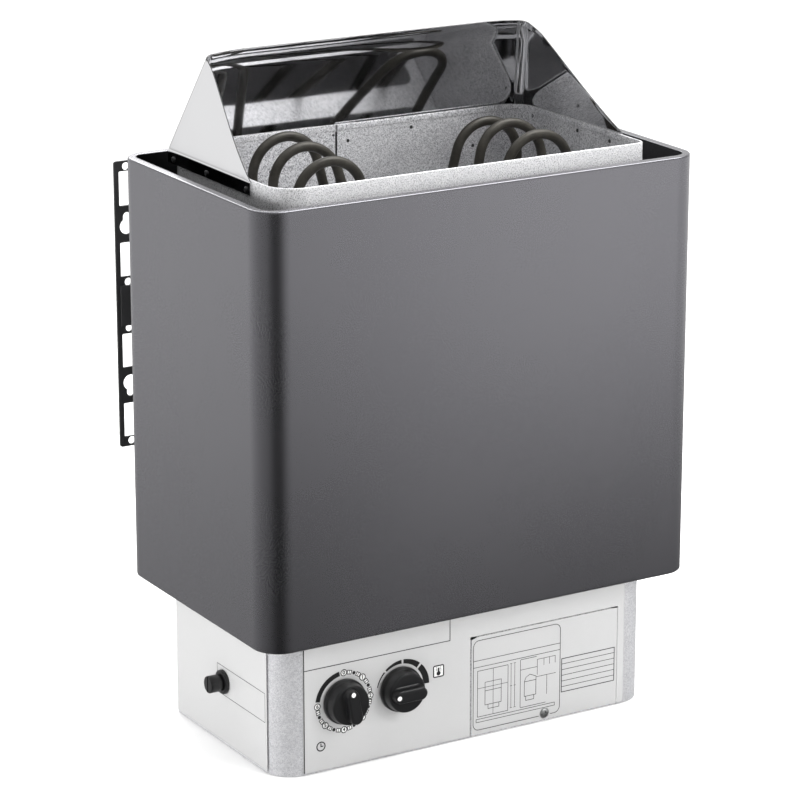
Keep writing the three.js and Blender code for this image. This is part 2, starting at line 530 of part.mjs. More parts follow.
// ---------------------------------------------------------------- wall rack
{
  const mid = (RACK.bottom + RACK.top) / 2;
  for (const [side, sign] of SIDES) {
    const x = sign * RACK.x;
    const strip = prismY(roundRect(x - RACK.half, x + RACK.half, RACK.bottom, RACK.top, 2.5), WALL - RACK.t, WALL, 2);
    const [y0, y1] = [WALL - RACK.t - 4, WALL + 4];
    const openings = [];
    for (const s of [-1, 1]) {
      for (const d of [118.6, 19.9]) openings.push(rod(3.3, y0, y1, 12, 'y', [x, 0, mid + s * d]));
      for (const [a, b] of [[85.4, 114.6], [24.9, 53.9]]) {
        openings.push(block(x - 6.6, x + 6.6, y0, y1, Math.min(mid + s * a, mid + s * b), Math.max(mid + s * a, mid + s * b)));
      }
      // keyhole: round entry towards the middle, narrow end away from it
      const big = 6.6, small = 3.5, zc = mid + s * 67.5, zs = mid + s * 76;
      openings.push(rod(big, y0, y1, 16, 'y', [x, 0, zc]), rod(small, y0, y1, 12, 'y', [x, 0, zs]));
      openings.push(block(x - small, x + small, y0, y1, Math.min(zc, zs), Math.max(zc, zs)));
    }
    add(`rack_strip_${side}`, cut(strip, ...openings), M.rack);
  }

  // cross bar, set off from the wall between its ends so that the hangers hook behind it
  const y0 = WALL - RACK.t - GAP;
  const { y, t, x } = BAR;
  const plan = polygon([
    [-188, y0 - t], [-164, y0 - t], [-x, y], [x, y], [164, y0 - t], [188, y0 - t],
    [188, y0], [163.2, y0], [x - 0.8, y + t], [-x + 0.8, y + t], [-163.2, y0], [-188, y0],
  ]);
  const bores = SIDES.map(([, sign]) => rod(2.9, BAR.y - 5, BAR.y + 12, 10, 'y', [sign * HANGER.x, 0, LOCK_Z]));
  add('rack_bar', cut(prismZ(plan, BAR.bottom, BAR.top), ...bores), M.rack);

  for (const [side, sign] of SIDES) {
    const a = CASING.back + GAP, b = BAR.y + BAR.t + 1, z = BAR.top + GAP;
    const hook = polygon([[a, 318], [a + t, 318], [a + t, z], [b, z], [b, 328], [b + t, 328], [b + t, z + t], [a, z + t]]);
    const [x0, x1] = span(sign, HANGER.x - HANGER.half, HANGER.x + HANGER.half);
    const at = [sign * HANGER.x, 0, LOCK_Z];
    add(`hanger_${side}`, cut(prismX(hook, x0, x1), rod(2.9, BAR.y - 3, BAR.y + 8, 10, 'y', at)), M.rack);
    add(`lock_screw_${side}`, turned([[0, BAR.y - 4.6], [4.6, BAR.y - 4.6], [4.6, BAR.y - GAP], [2.5, BAR.y - GAP], [2.5, BAR.y + 10], [0, BAR.y + 10]], 12, 'y', at), M.zinc);
    const n = b + t + GAP;
    add(`lock_nut_${side}`, turned([[3.3, n], [5, n], [5, n + 4], [3.3, n + 4], [3.3, n]], 6, 'y', at), M.zinc);
  }
}

export default heater;
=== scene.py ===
import json
import math

import bmesh
import bpy
from mathutils import Matrix, Vector
from mathutils.geometry import tessellate_polygon


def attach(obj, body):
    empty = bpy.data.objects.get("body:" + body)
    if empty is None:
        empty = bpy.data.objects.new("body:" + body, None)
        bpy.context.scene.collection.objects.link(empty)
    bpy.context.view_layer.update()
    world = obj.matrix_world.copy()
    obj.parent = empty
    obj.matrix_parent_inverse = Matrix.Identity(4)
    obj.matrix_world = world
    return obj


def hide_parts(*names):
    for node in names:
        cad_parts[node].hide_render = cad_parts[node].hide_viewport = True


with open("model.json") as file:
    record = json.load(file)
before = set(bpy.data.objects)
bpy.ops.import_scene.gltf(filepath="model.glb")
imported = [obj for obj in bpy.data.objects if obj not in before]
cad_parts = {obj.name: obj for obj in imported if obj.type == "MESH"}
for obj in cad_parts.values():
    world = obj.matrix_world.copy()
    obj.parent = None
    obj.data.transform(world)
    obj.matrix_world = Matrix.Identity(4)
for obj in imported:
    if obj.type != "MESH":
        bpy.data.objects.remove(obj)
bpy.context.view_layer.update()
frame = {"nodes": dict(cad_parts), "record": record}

scene = bpy.context.scene
MM = 0.001
TAU = 2 * math.pi

# ------------------------------------------------------------------ camera
cam_data = bpy.data.cameras.new("camera")
cam = bpy.data.objects.new("camera", cam_data)
scene.collection.objects.link(cam)
cam.location = Vector((-1.41228, -2.36626, 1.09291))
cam.rotation_mode = "QUATERNION"
cam.rotation_quaternion = (Vector((-0.0094, -0.0185, 0.2703)) - cam.location).to_track_quat("-Z", "Y")
cam_data.lens = 154.94
cam_data.sensor_width = 36.0
cam_data.clip_start = 0.05
cam_data.clip_end = 100.0
scene.camera = cam


# ------------------------------------------------------------------ node materials
class Mat:
    """A node material: a principled shader and small helpers for its procedural inputs."""

    def __init__(self, name, color, rough, metal=0.0, specular=0.5):
        self.m = bpy.data.materials.new(name)
        self.m.use_nodes = True
        self.t = self.m.node_tree
        self.t.nodes.clear()
        self.out = self.t.nodes.new("ShaderNodeOutputMaterial")
        self.b = self.t.nodes.new("ShaderNodeBsdfPrincipled")
        self.t.links.new(self.b.outputs["BSDF"], self.out.inputs["Surface"])
        self.b.inputs["Base Color"].default_value = (*color, 1)
        self.b.inputs["Roughness"].default_value = rough
        self.b.inputs["Metallic"].default_value = metal
        self.b.inputs["Specular IOR Level"].default_value = specular
        self.m.diffuse_color = (*color, 1)

    def node(self, kind, **values):
        n = self.t.nodes.new(kind)
        for k, v in values.items():
            setattr(n, k, v)
        return n

    def link(self, a, b):
        self.t.links.new(a, b)

    def coords(self, scale=(1, 1, 1), rotation=(0, 0, 0)):
        c = self.node("ShaderNodeTexCoord")
        m = self.node("ShaderNodeMapping")
        m.inputs["Scale"].default_value = scale
        m.inputs["Rotation"].default_value = rotation
        self.link(c.outputs["Object"], m.inputs["Vector"])
        return m.outputs["Vector"]

    def noise(self, scale, detail=2.0, rough=0.5, vector=None, distortion=0.0):
        n = self.node("ShaderNodeTexNoise")
        n.inputs["Scale"].default_value = scale
        n.inputs["Detail"].default_value = detail
        n.inputs["Roughness"].default_value = rough
        n.inputs["Distortion"].default_value = distortion
        self.link(vector or self.coords(), n.inputs["Vector"])
        return n.outputs["Fac"]

    def voronoi(self, scale, vector=None, feature="F1", randomness=1.0):
        n = self.node("ShaderNodeTexVoronoi", feature=feature)
        n.inputs["Scale"].default_value = scale
        n.inputs["Randomness"].default_value = randomness
        self.link(vector or self.coords(), n.inputs["Vector"])
        return n

    def remap(self, value, lo, hi, to_lo, to_hi):
        n = self.node("ShaderNodeMapRange")
        n.inputs["From Min"].default_value = lo
        n.inputs["From Max"].default_value = hi
        n.inputs["To Min"].default_value = to_lo
        n.inputs["To Max"].default_value = to_hi
        self.link(value, n.inputs["Value"])
        return n.outputs["Result"]

    def ramp(self, value, *stops):
        n = self.node("ShaderNodeValToRGB")
        e = n.color_ramp.elements
        while len(e) < len(stops):
            e.new(0.5)
        for el, (p, c) in zip(e, stops):
            el.position = p
            el.color = (*c, 1) if len(c) == 3 else c
        self.link(value, n.inputs["Fac"])
        return n.outputs["Color"]

    def math(self, op, a, b):
        n = self.node("ShaderNodeMath", operation=op)
        for i, v in enumerate((a, b)):
            if isinstance(v, (int, float)):
                n.inputs[i].default_value = v
            else:
                self.link(v, n.inputs[i])
        return n.outputs["Value"]

    def mix(self, fac, a, b, blend="MIX"):
        n = self.node("ShaderNodeMix", data_type="RGBA", blend_type=blend)
        n.inputs["Factor"].default_value = 0.5
        for key, v in (("Factor", fac), ("A", a), ("B", b)):
            s = [i for i in n.inputs if i.name == key and (i.type == "VALUE") == (key == "Factor") and i.type in ("VALUE", "RGBA")][0]
            if isinstance(v, (int, float)):
                s.default_value = v
            elif isinstance(v, tuple):
                s.default_value = (*v, 1)
            else:
                self.link(v, s)
        return [o for o in n.outputs if o.type == "RGBA"][0]

    def bump(self, height, distance, strength=1.0, normal=None):
        n = self.node("ShaderNodeBump")
        n.inputs["Strength"].default_value = strength
        n.inputs["Distance"].default_value = distance
        self.link(height, n.inputs["Height"])
        if normal is not None:
            self.link(normal, n.inputs["Normal"])
        return n.outputs["Normal"]

    def upward(self, lo, hi):
        """0 to 1 where the surface turns upwards."""
        c = self.node("ShaderNodeTexCoord")
        n = self.node("ShaderNodeSeparateXYZ")
        self.link(c.outputs["Normal"], n.inputs["Vector"])
        return self.remap(n.outputs["Z"], lo, hi, 0.0, 1.0)

    def outward(self, centre):
        """0 on faces that look at the centre, 1 on faces that look away from it."""
        c = self.node("ShaderNodeTexCoord")
        d = self.node("ShaderNodeVectorMath", operation="SUBTRACT")
        d.inputs[1].default_value = centre
        p = self.node("ShaderNodeVectorMath", operation="DOT_PRODUCT")
        self.link(c.outputs["Object"], d.inputs[0])
        self.link(d.outputs["Vector"], p.inputs[0])
        self.link(c.outputs["Normal"], p.inputs[1])
        return self.remap(p.outputs["Value"], -0.01, 0.01, 0.0, 1.0)

    def metallic(self, socket):
        self.link(socket, self.b.inputs["Metallic"])

    def color(self, socket):
        self.link(socket, self.b.inputs["Base Color"])

    def rough(self, socket):
        self.link(socket, self.b.inputs["Roughness"])

    def normal(self, socket):
        self.link(socket, self.b.inputs["Normal"])


def g(v, tint=0.0):
    """Grey of linear value v, a touch cooler with tint."""
    return (v, v, v * (1 + tint))


def paint_casing():
    m = Mat("casing_paint", (0.197, 0.195, 0.205), 0.27, 0.97)
    broad = m.noise(9, 3, 0.55)
    outside = m.outward((0.0, -0.0185, 0.30))  # painted shade: the inside faces of the shell are coloured near black to stand in for the shade inside the casing
    m.color(m.mix(outside, (0.032, 0.032, 0.034), m.ramp(broad, (0.3, (0.193, 0.1905, 0.2055)), (0.7, (0.203, 0.2005, 0.2155)))))
    grain = m.noise(1400, 2, 0.6)
    m.rough(m.math("ADD", m.remap(broad, 0.3, 0.7, 0.0, 0.015), m.remap(grain, 0.3, 0.7, 0.262, 0.272)))
    peel = m.noise(420, 2, 0.5)
    m.normal(m.bump(grain, 0.000001, 0.05, m.bump(peel, 0.0000008, 0.04)))
    return m.m


def galvanised(name="galvanised", bright=1.0, speck=0.36, metal=0.25, shell=None, cells=520, grain=1050):
    m = Mat(name, g(0.66 * bright, 0.02), 0.4, metal)
    base = m.coords()
    cell = m.voronoi(cells, base)
    tone = m.node("ShaderNodeSeparateColor")
    m.link(cell.outputs["Color"], tone.inputs["Color"])
    spangle = m.ramp(tone.outputs["Red"], (0.0, g(0.66 * bright, 0.025)), (1.0, g(0.82 * bright, 0.015)))
    specks = m.noise(grain, 2, 0.7)
    mask = m.ramp(specks, (0.38, g(speck, 0.03)), (0.46, g(0.4 * speck + 0.6, 0.015)), (0.54, (1, 1, 1)))
    if shell:  # the outside of the shell is cleaner and shinier than the inside
        outside = m.outward(shell)
        m.metallic(m.remap(outside, 0, 1, metal, 0.42))
        mask = m.mix(outside, mask, m.ramp(specks, (0.38, g(0.42, 0.02)), (0.46, g(0.82, 0.01)), (0.53, (1, 1, 1))))
        spangle = m.mix(outside, spangle, m.ramp(tone.outputs["Red"], (0.0, g(0.80, 0.02)), (1.0, g(0.89, 0.01))))
    m.color(m.mix(1.0, spangle, mask, "MULTIPLY"))
    m.rough(m.remap(tone.outputs["Green"], 0, 1, 0.30, 0.46))
    m.normal(m.bump(specks, 0.00002, 0.4))
    return m.m


def polished():
    m = Mat("polished_steel", g(0.74, 0.012), 0.05, 1.0)
    cloud = m.noise(8, 2, 0.5)
    cut = m.upward(0.42, 0.52)  # painted shade: every face turned upwards, the cut edges and the top of the folded hem, is coloured near black so it shows no highlight; the added roughness is the dull cut edge
    m.color(m.mix(cut, m.ramp(cloud, (0.35, g(0.725, 0.014)), (0.65, g(0.755, 0.012))), g(0.07, 0.02)))
    m.rough(m.math("ADD", m.remap(m.noise(30, 3, 0.6), 0.3, 0.7, 0.035, 0.06), m.remap(cut, 0, 1, 0.0, 0.4)))
    m.normal(m.bump(m.noise(11, 1, 0.4), 0.00007, 0.5))
    return m.m


def zinc():
    m = Mat("zinc_steel", g(0.62, 0.0), 0.32, 1.0)
    n = m.noise(700, 3, 0.6)
    m.color(m.ramp(n, (0.3, (0.52, 0.53, 0.53)), (0.7, (0.72, 0.73, 0.72))))
    m.rough(m.remap(n, 0.3, 0.7, 0.24, 0.42))
    m.normal(m.bump(n, 0.00001, 0.5))
    return m.m


def sheath():
    m = Mat("element_sheath", (0.055, 0.052, 0.045), 0.48, 0.45)
    blotch = m.noise(60, 4, 0.6)
    fine = m.noise(900, 3, 0.6)
    tone = m.ramp(blotch, (0.3, (0.034, 0.031, 0.026)), (0.55, (0.054, 0.050, 0.042)), (0.75, (0.080, 0.075, 0.064)))
    m.color(m.mix(0.35, tone, m.ramp(fine, (0.3, (0.35, 0.35, 0.34)), (0.7, (1, 1, 1))), "MULTIPLY"))
    m.rough(m.remap(blotch, 0.3, 0.7, 0.34, 0.5))
    m.normal(m.bump(fine, 0.00002, 0.5))
    return m.m


def film():
    m = Mat("silver_film", g(0.55, 0.0), 0.42, 0.12)
    cloud = m.noise(7, 2, 0.5)
    grain = m.noise(1900, 2, 0.6)
    m.color(m.mix(0.5, m.ramp(cloud, (0.3, g(0.512)), (0.7, g(0.546))), m.ramp(grain, (0.3, g(0.502)), (0.7, g(0.556)))))
    m.rough(m.remap(grain, 0.3, 0.7, 0.36, 0.46))
    m.normal(m.bump(grain, 0.000004, 0.5))
    return m.m


def moulded():
    m = Mat("black_plastic", (0.012, 0.012, 0.013), 0.36)
    grain = m.noise(1500, 2, 0.5)
    wear = m.noise(90, 3, 0.5)
    m.color(m.ramp(wear, (0.3, (0.0074, 0.0074, 0.0080)), (0.7, (0.0086, 0.0086, 0.0092))))
    m.rough(m.math("ADD", m.remap(grain, 0.3, 0.7, 0.28, 0.31), m.remap(wear, 0.3, 0.7, 0.0, 0.015)))
    m.normal(m.bump(grain, 0.000004, 0.2))
    return m.m


def rack_coat():
    m = Mat("rack_paint", (0.026, 0.026, 0.027), 0.45)
    peel = m.noise(520, 2, 0.5)
    broad = m.noise(30, 3, 0.5)
    m.color(m.ramp(broad, (0.3, (0.023, 0.023, 0.024)), (0.7, (0.032, 0.032, 0.033))))
    m.rough(m.remap(peel, 0.3, 0.7, 0.36, 0.5))
    m.normal(m.bump(peel, 0.00003, 0.5))
    return m.m


def steatite():
    m = Mat("ceramic", (0.74, 0.71, 0.63), 0.6)
    n = m.noise(400, 4, 0.6)
    m.color(m.ramp(n, (0.3, (0.68, 0.65, 0.57)), (0.7, (0.78, 0.75, 0.68))))
    m.rough(m.remap(n, 0.3, 0.7, 0.5, 0.7))
    m.normal(m.bump(n, 0.00003, 0.4))
    return m.m


def drawn_metal(name, dark, light, scale):
    m = Mat(name, light, 0.36, 1.0)
    n = m.noise(scale, 3, 0.6, m.coords((1, 1, 0.1)))
    m.color(m.ramp(n, (0.3, dark), (0.7, light)))
    m.rough(m.remap(n, 0.3, 0.7, 0.28, 0.45))
    m.normal(m.bump(n, 0.00001, 0.4))
    return m.m


def phenolic():
    m = Mat("phenolic", (0.05, 0.043, 0.038), 0.55)
    n = m.noise(800, 3, 0.7)
    m.color(m.ramp(n, (0.3, (0.035, 0.030, 0.027)), (0.7, (0.065, 0.056, 0.050))))
    m.rough(m.remap(n, 0.3, 0.7, 0.48, 0.62))
    m.normal(m.bump(n, 0.00002, 0.4))
    return m.m


def braided():
    m = Mat("silicone", (0.5, 0.47, 0.40), 0.7)
    a = m.node("ShaderNodeTexWave", wave_type="BANDS", bands_direction="DIAGONAL")
    a.inputs["Scale"].default_value = 500
    m.link(m.coords(), a.inputs["Vector"])
    m.color(m.ramp(a.outputs["Fac"], (0.2, (0.40, 0.37, 0.31)), (0.8, (0.56, 0.53, 0.46))))
    m.rough(m.remap(a.outputs["Fac"], 0, 1, 0.6, 0.8))
    m.normal(m.bump(a.outputs["Fac"], 0.0001, 0.5))
    return m.m


def ink(name, color):
    m = Mat(name, color, 0.5)
    n = m.noise(1200, 2, 0.6)
    m.color(m.ramp(n, (0.3, tuple(c * 0.85 for c in color)), (0.7, tuple(min(1, c * 1.15) for c in color))))
    m.rough(m.remap(n, 0.3, 0.7, 0.42, 0.58))
    return m.m


SLOTS = {
    "casing_paint": paint_casing(),
    "galvanised": galvanised(),
    "polished_steel": polished(),
    "zinc_steel": zinc(),
    "element_sheath": sheath(),
    "ceramic": steatite(),
    "brass": drawn_metal("brass", (0.50, 0.37, 0.15), (0.66, 0.50, 0.24), 300),
    "silver_film": film(),
    "black_plastic": moulded(),
    "phenolic": phenolic(),
    "copper": drawn_metal("copper", (0.55, 0.28, 0.17), (0.72, 0.40, 0.26), 300),
    "silicone": braided(),
    "rack_paint": rack_coat(),
}
BOX_STEEL = galvanised("box_galvanised", 1.20, 0.76, 0.64, None, 900, 1700)
CHAMBER_STEEL = galvanised("chamber_galvanised", 1.06, 0.32, 0.25, (0.0, -0.0135, 0.43))
# rivet heads, and the near-black strip painted as the shadow beside the liner's lap
DARK_RIVET_AND_LAP_SHADE = drawn_metal("rivet_steel_and_lap_shade", (0.05, 0.05, 0.052), (0.11, 0.11, 0.112), 600)
INK = ink("print_black", (0.009, 0.009, 0.0095))
INK_GREY = ink("print_grey", (0.10, 0.10, 0.105))
INK_WHITE = ink("print_white", (0.80, 0.80, 0.79))

# every node starts with its own procedural finish; the ones below are then remodelled
for part in frame["record"]["subparts"]:
    node = frame["nodes"].get(part["node"])
    if node is not None:
        node.data.materials.clear()
        node.data.materials.append(SLOTS[part["material_slot"]])


# ------------------------------------------------------------------ mesh helpers (millimetres)
class Shape:
    """Collects closed islands of one piece."""

    def __init__(self):
        self.v, self.f = [], []

    def add(self, verts, faces):
        n = len(self.v)
        self.v += [tuple(p) for p in verts]
        self.f += [tuple(i + n for i in face) for face in faces]
        return self

    def grid(self, rows, closed_rows=False, closed_cols=False, caps=False):
        """Quads over rows of points; closed_rows joins the last row to the first, closed_cols each row's ends."""
        nr, nc = len(rows), len(rows[0])
        faces = []
        for i in range(nr if closed_rows else nr - 1):
            for j in range(nc if closed_cols else nc - 1):
                a, b = i, (i + 1) % nr
                c, d = j, (j + 1) % nc
                faces.append((a * nc + c, a * nc + d, b * nc + d, b * nc + c))
        if caps:
            if closed_cols:
                faces.append(tuple(range(nc))[::-1])
                faces.append(tuple((nr - 1) * nc + j for j in range(nc)))
            else:
                faces.append(tuple(i * nc for i in range(nr)))
                faces.append(tuple(i * nc + nc - 1 for i in range(nr))[::-1])
        return self.add([p for row in rows for p in row], faces)

    def lathe(self, profile, place, n=48):
        """profile of (radius, depth) from axis to axis or closed; place maps (u, v, depth) to a point."""
        closed = profile[0][0] > 1e-6
        rings = []
        for r, d in profile:
            if r < 1e-6:
                rings.append([place(0, 0, d)])
            else:
                rings.append([place(r * math.cos(TAU * k / n), r * math.sin(TAU * k / n), d) for k in range(n)])
        verts = [p for ring in rings for p in ring]
        start, faces, o = [], [], 0
        for ring in rings:
            start.append(o)
            o += len(ring)
        pairs = list(range(len(rings) - 1)) + ([len(rings) - 1] if closed else [])
        for i in pairs:
            j = (i + 1) % len(rings)
            for k in range(n):
                l = (k + 1) % n
                a = [start[i]] if len(rings[i]) == 1 else [start[i] + k, start[i] + l]
                b = [start[j]] if len(rings[j]) == 1 else [start[j] + l, start[j] + k]
                faces.append(tuple(a + b))
        return self.add(verts, faces)

    def plate(self, loops, w0, w1, bevel, place):
        """Flat plate with holes: loops[0] is the outline, the rest are holes; place maps (u, v, w) to a point."""
        done = []
        for i, loop in enumerate(loops):
            pts = [Vector((p[0], p[1])) for p in loop]
            area = sum(a.x * b.y - b.x * a.y for a, b in zip(pts, pts[1:] + pts[:1]))
            if (area > 0) != (i == 0):
                pts.reverse()
            done.append(pts)

        def inset(pts, b):
            out = []
            for p, q, r in zip(pts[-1:] + pts[:-1], pts, pts[1:] + pts[:1]):
                e0, e1 = (q - p).normalized(), (r - q).normalized()
                n0, n1 = Vector((-e0.y, e0.x)), Vector((-e1.y, e1.x))
                m = n0 + n1
                m = m.normalized() if m.length > 1e-6 else n0
                out.append(q + m * (b / max(0.35, m.dot(n0))))
            return out

        small = [inset(p, bevel) for p in done] if bevel > 0 else done
        flat = [q for p in small for q in p]
        tris = tessellate_polygon([[Vector((q.x, q.y, 0)) for q in p] for p in small])
        count = sum(len(p) for p in done)
        if bevel > 0:
            s = 1 if w1 > w0 else -1
            levels = [(small, w0), (done, w0 + s * bevel), (done, w1 - s * bevel), (small, w1)]
        else:
            levels = [(done, w0), (done, w1)]
        verts = [place(q.x, q.y, w) for loops_, w in levels for p in loops_ for q in p]
        last = (len(levels) - 1) * count
        faces = [tuple(t) for t in tris] + [tuple(last + i for i in reversed(t)) for t in tris]
        o = 0
        for p in done:
            k = len(p)
            for lv in range(len(levels) - 1):
                for i in range(k):
                    j = (i + 1) % k
                    faces.append((lv * count + o + i, lv * count + o + j, (lv + 1) * count + o + j, (lv + 1) * count + o + i))
            o += k
        assert len(flat) == count
        return self.add(verts, faces)

    def sweep(self, path, radius, n=20, scale=None):
        """Round tube along a list of points."""
        p = [Vector(q) for q in path]
        t = [((p[min(i + 1, len(p) - 1)] - p[max(i - 1, 0)]).normalized()) for i in range(len(p))]
        ref = Vector((0, 1, 0)) if abs(t[0].y) < 0.9 else Vector((1, 0, 0))
        u = (ref - t[0] * ref.dot(t[0])).normalized()
        rows = []
        for i, q in enumerate(p):
            if i:
                u = (u - t[i] * u.dot(t[i])).normalized()
            v = t[i].cross(u)
            r = radius * (scale[i] if scale else 1)
            rows.append([tuple(q + (u * math.cos(TAU * k / n) + v * math.sin(TAU * k / n)) * r) for k in range(n)])
        return self.grid(rows, closed_cols=True, caps=True)


def finish_mesh(me, angle):
    bm = bmesh.new()
    bm.from_mesh(me)
    bmesh.ops.remove_doubles(bm, verts=bm.verts, dist=2e-7)
    bmesh.ops.recalc_face_normals(bm, faces=bm.faces)
    bm.to_mesh(me)
    bm.free()
    me.polygons.foreach_set("use_smooth", [True] * len(me.polygons))
    me.set_sharp_from_angle(angle=math.radians(angle))
    me.update()


def piece(name, shape, slot, body="heater", replaces=(), angle=32, material=None):
    me = bpy.data.meshes.new(name)
    me.from_pydata([(x * MM, y * MM, z * MM) for x, y, z in shape.v], [], shape.f)
    finish_mesh(me, angle)
    ob = bpy.data.objects.new(name, me)
    scene.collection.objects.link(ob)
    me.materials.append(material or SLOTS[slot])
    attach(ob, body)
    if replaces:
        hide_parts(*([replaces] if isinstance(replaces, str) else replaces))
    return ob


def carve(ob, *shapes, angle=32):
    """Cuts the given shapes out of a piece's mesh."""
    cutters = []
    for s in shapes:
        me = bpy.data.meshes.new("cutter")
        me.from_pydata([(x * MM, y * MM, z * MM) for x, y, z in s.v], [], s.f)
        finish_mesh(me, 30)
        c = bpy.data.objects.new("cutter", me)
        scene.collection.objects.link(c)
        mod = ob.modifiers.new("cut", "BOOLEAN")
        mod.operation, mod.solver, mod.object = "DIFFERENCE", "EXACT", c
        cutters.append(c)
    dg = bpy.context.evaluated_depsgraph_get()
    me = bpy.data.meshes.new_from_object(ob.evaluated_get(dg), depsgraph=dg)
    ob.modifiers.clear()
    ob.data = me
    finish_mesh(me, angle)
    for c in cutters:
        bpy.data.objects.remove(c)
    return ob


def softened(node, slot, width, body="heater", segments=2, angle=32, name=None):
    """A node's own shape with clean faces and rounded edges."""
    bm = bmesh.new()
    bm.from_mesh(frame["nodes"][node].data)
    bmesh.ops.remove_doubles(bm, verts=bm.verts, dist=1e-6)
    bmesh.ops.dissolve_limit(bm, angle_limit=math.radians(1.0), verts=bm.verts, edges=bm.edges)
    me = bpy.data.meshes.new(name or node + "_formed")
    bm.to_mesh(me)
    bm.free()
    ob = bpy.data.objects.new(name or node + "_formed", me)
    scene.collection.objects.link(ob)
    mod = ob.modifiers.new("edge", "BEVEL")
    mod.width, mod.segments, mod.limit_method = width * MM, segments, "ANGLE"
    mod.angle_limit = math.radians(40)
    dg = bpy.context.evaluated_depsgraph_get()
    final = bpy.data.meshes.new_from_object(ob.evaluated_get(dg), depsgraph=dg)
    ob.modifiers.clear()
    ob.data = final
    finish_mesh(final, angle)
    final.materials.clear()
    final.materials.append(SLOTS[slot])
    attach(ob, body)
    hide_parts(node)
    return ob


def block(x0, x1, y0, y1, z0, z1):
    s = Shape()
    s.grid([[(x0, y0, z), (x1, y0, z), (x1, y1, z), (x0, y1, z)] for z in (z0, z1)], closed_cols=True, caps=True)
    return s


def rounded_rect(x0, x1, y0, y1, radii, n=12, support=1.5):
    """Loop from the lower-left corner, with points beside each corner so that the flats stay flat."""
    if not isinstance(radii, (tuple, list)):
        radii = (radii,) * 4
    corners = [(x0, y0, 180, 1, 1), (x1, y0, 270, -1, 1), (x1, y1, 0, -1, -1), (x0, y1, 90, 1, -1)]
    pts = []
    for (x, y, a0, sx, sy), r in zip(corners, radii):
        cx, cy = x + sx * r, y + sy * r
        arc = [(cx + r * math.cos(math.radians(a0 + 90 * k / n)), cy + r * math.sin(math.radians(a0 + 90 * k / n))) for k in range(n + 1)]
        if support:
            d0, d1 = math.radians(a0 - 90 + 180), math.radians(a0 + 90)
            before = (arc[0][0] - support * math.cos(math.radians(a0 + 90)), arc[0][1] - support * math.sin(math.radians(a0 + 90)))
            after = (arc[-1][0] + support * math.cos(math.radians(a0 + 180)), arc[-1][1] + support * math.sin(math.radians(a0 + 180)))
            arc = [before] + arc + [after]
        pts += arc
    return pts


def circle(x, y, r, n=32):
    return [(x + r * math.cos(TAU * k / n), y + r * math.sin(TAU * k / n)) for k in range(n)]


def front(y):
    """Places (x, z, depth) on a plane that faces the viewer, depth towards the viewer."""
    return lambda u, v, w: (u, y - w, v)


def left(x):
    """Places (y, z, depth) on a plane that faces left, depth towards the left."""
    return lambda u, v, w: (x - w, u, v)


def rear(y):
    return lambda u, v, w: (u, y + w, v)


# ------------------------------------------------------------------ outer casing
def casing():
    x, f, b, z0, z1 = 203.5, -140.0, 103.0, 119.2, 477.5

    def radius(d, r):
        if d <= 2:
            return r - d
        return (r - 2) + (9 - (r - 2)) * (d - 2) / 7.5

    def ring(d, z, lip):
        rf, rb = (radius(d, 23), radius(d, 21)) if lip else (23 - d, 21 - d)
        return [(px, py, z) for px, py in rounded_rect(-x + d, x - d, f + d, b - d, (rf, rf, rb, rb), 16)]

    rows = []
    bend, t, lip = 1.5, 1.2, 7.8
    edge = [(lip, 0.6), (lip - 0.08, 0.3), (lip - 0.3, 0.08), (lip - 0.6, 0.0)]
    rows += [ring(d, z0 + h, True) for d, h in edge]
    rows += [ring(d, z0, True) for d in (5.6, 3.0)]
    rows += [ring(bend - bend * math.sin(a), z0 + bend - bend * math.cos(a), True) for a in [math.radians(15 * k) for k in range(7)]]
    rows += [ring(0, z, False) for z in (z0 + 3.2, 180, 240, 300, 360, 420, z1 - 3.2)]
    rows += [ring(bend - bend * math.cos(a), z1 - bend + bend * math.sin(a), True) for a in [math.radians(15 * k) for k in range(7)]]
    rows += [ring(d, z1, True) for d in (3.0, 5.6)]
    rows += [ring(d, z1 - h, True) for d, h in reversed(edge)]
    rows += [ring(d, z1 - t + h, True) for d, h in ((lip - 0.08, 0.3), (lip - 0.3, 0.08), (lip - 0.6, 0.0))]
    rows += [ring(d, z1 - t, True) for d in (5.6, 2.6)]
    rows += [ring(t + (1 - math.sin(a)), z1 - t - (1 - math.cos(a)), False) for a in [math.radians(30 * k) for k in range(4)]]
    rows += [ring(t, z, False) for z in (z1 - 4, 300, z0 + 4)]
    rows += [ring(t + (1 - math.cos(a)), z0 + t + 1 - math.sin(a), False) for a in [math.radians(30 * k) for k in range(4)]]
    rows += [ring(d, z0 + t, True) for d in (2.6, 5.6, lip - 0.6)]
    rows += [ring(d, z0 + t - h, True) for d, h in ((lip - 0.3, 0.08), (lip - 0.08, 0.3))]
    s = Shape().grid(rows, closed_rows=True, closed_cols=True)
    return piece("casing_wrap", s, "casing_paint", replaces="outer_casing", angle=40)


casing()


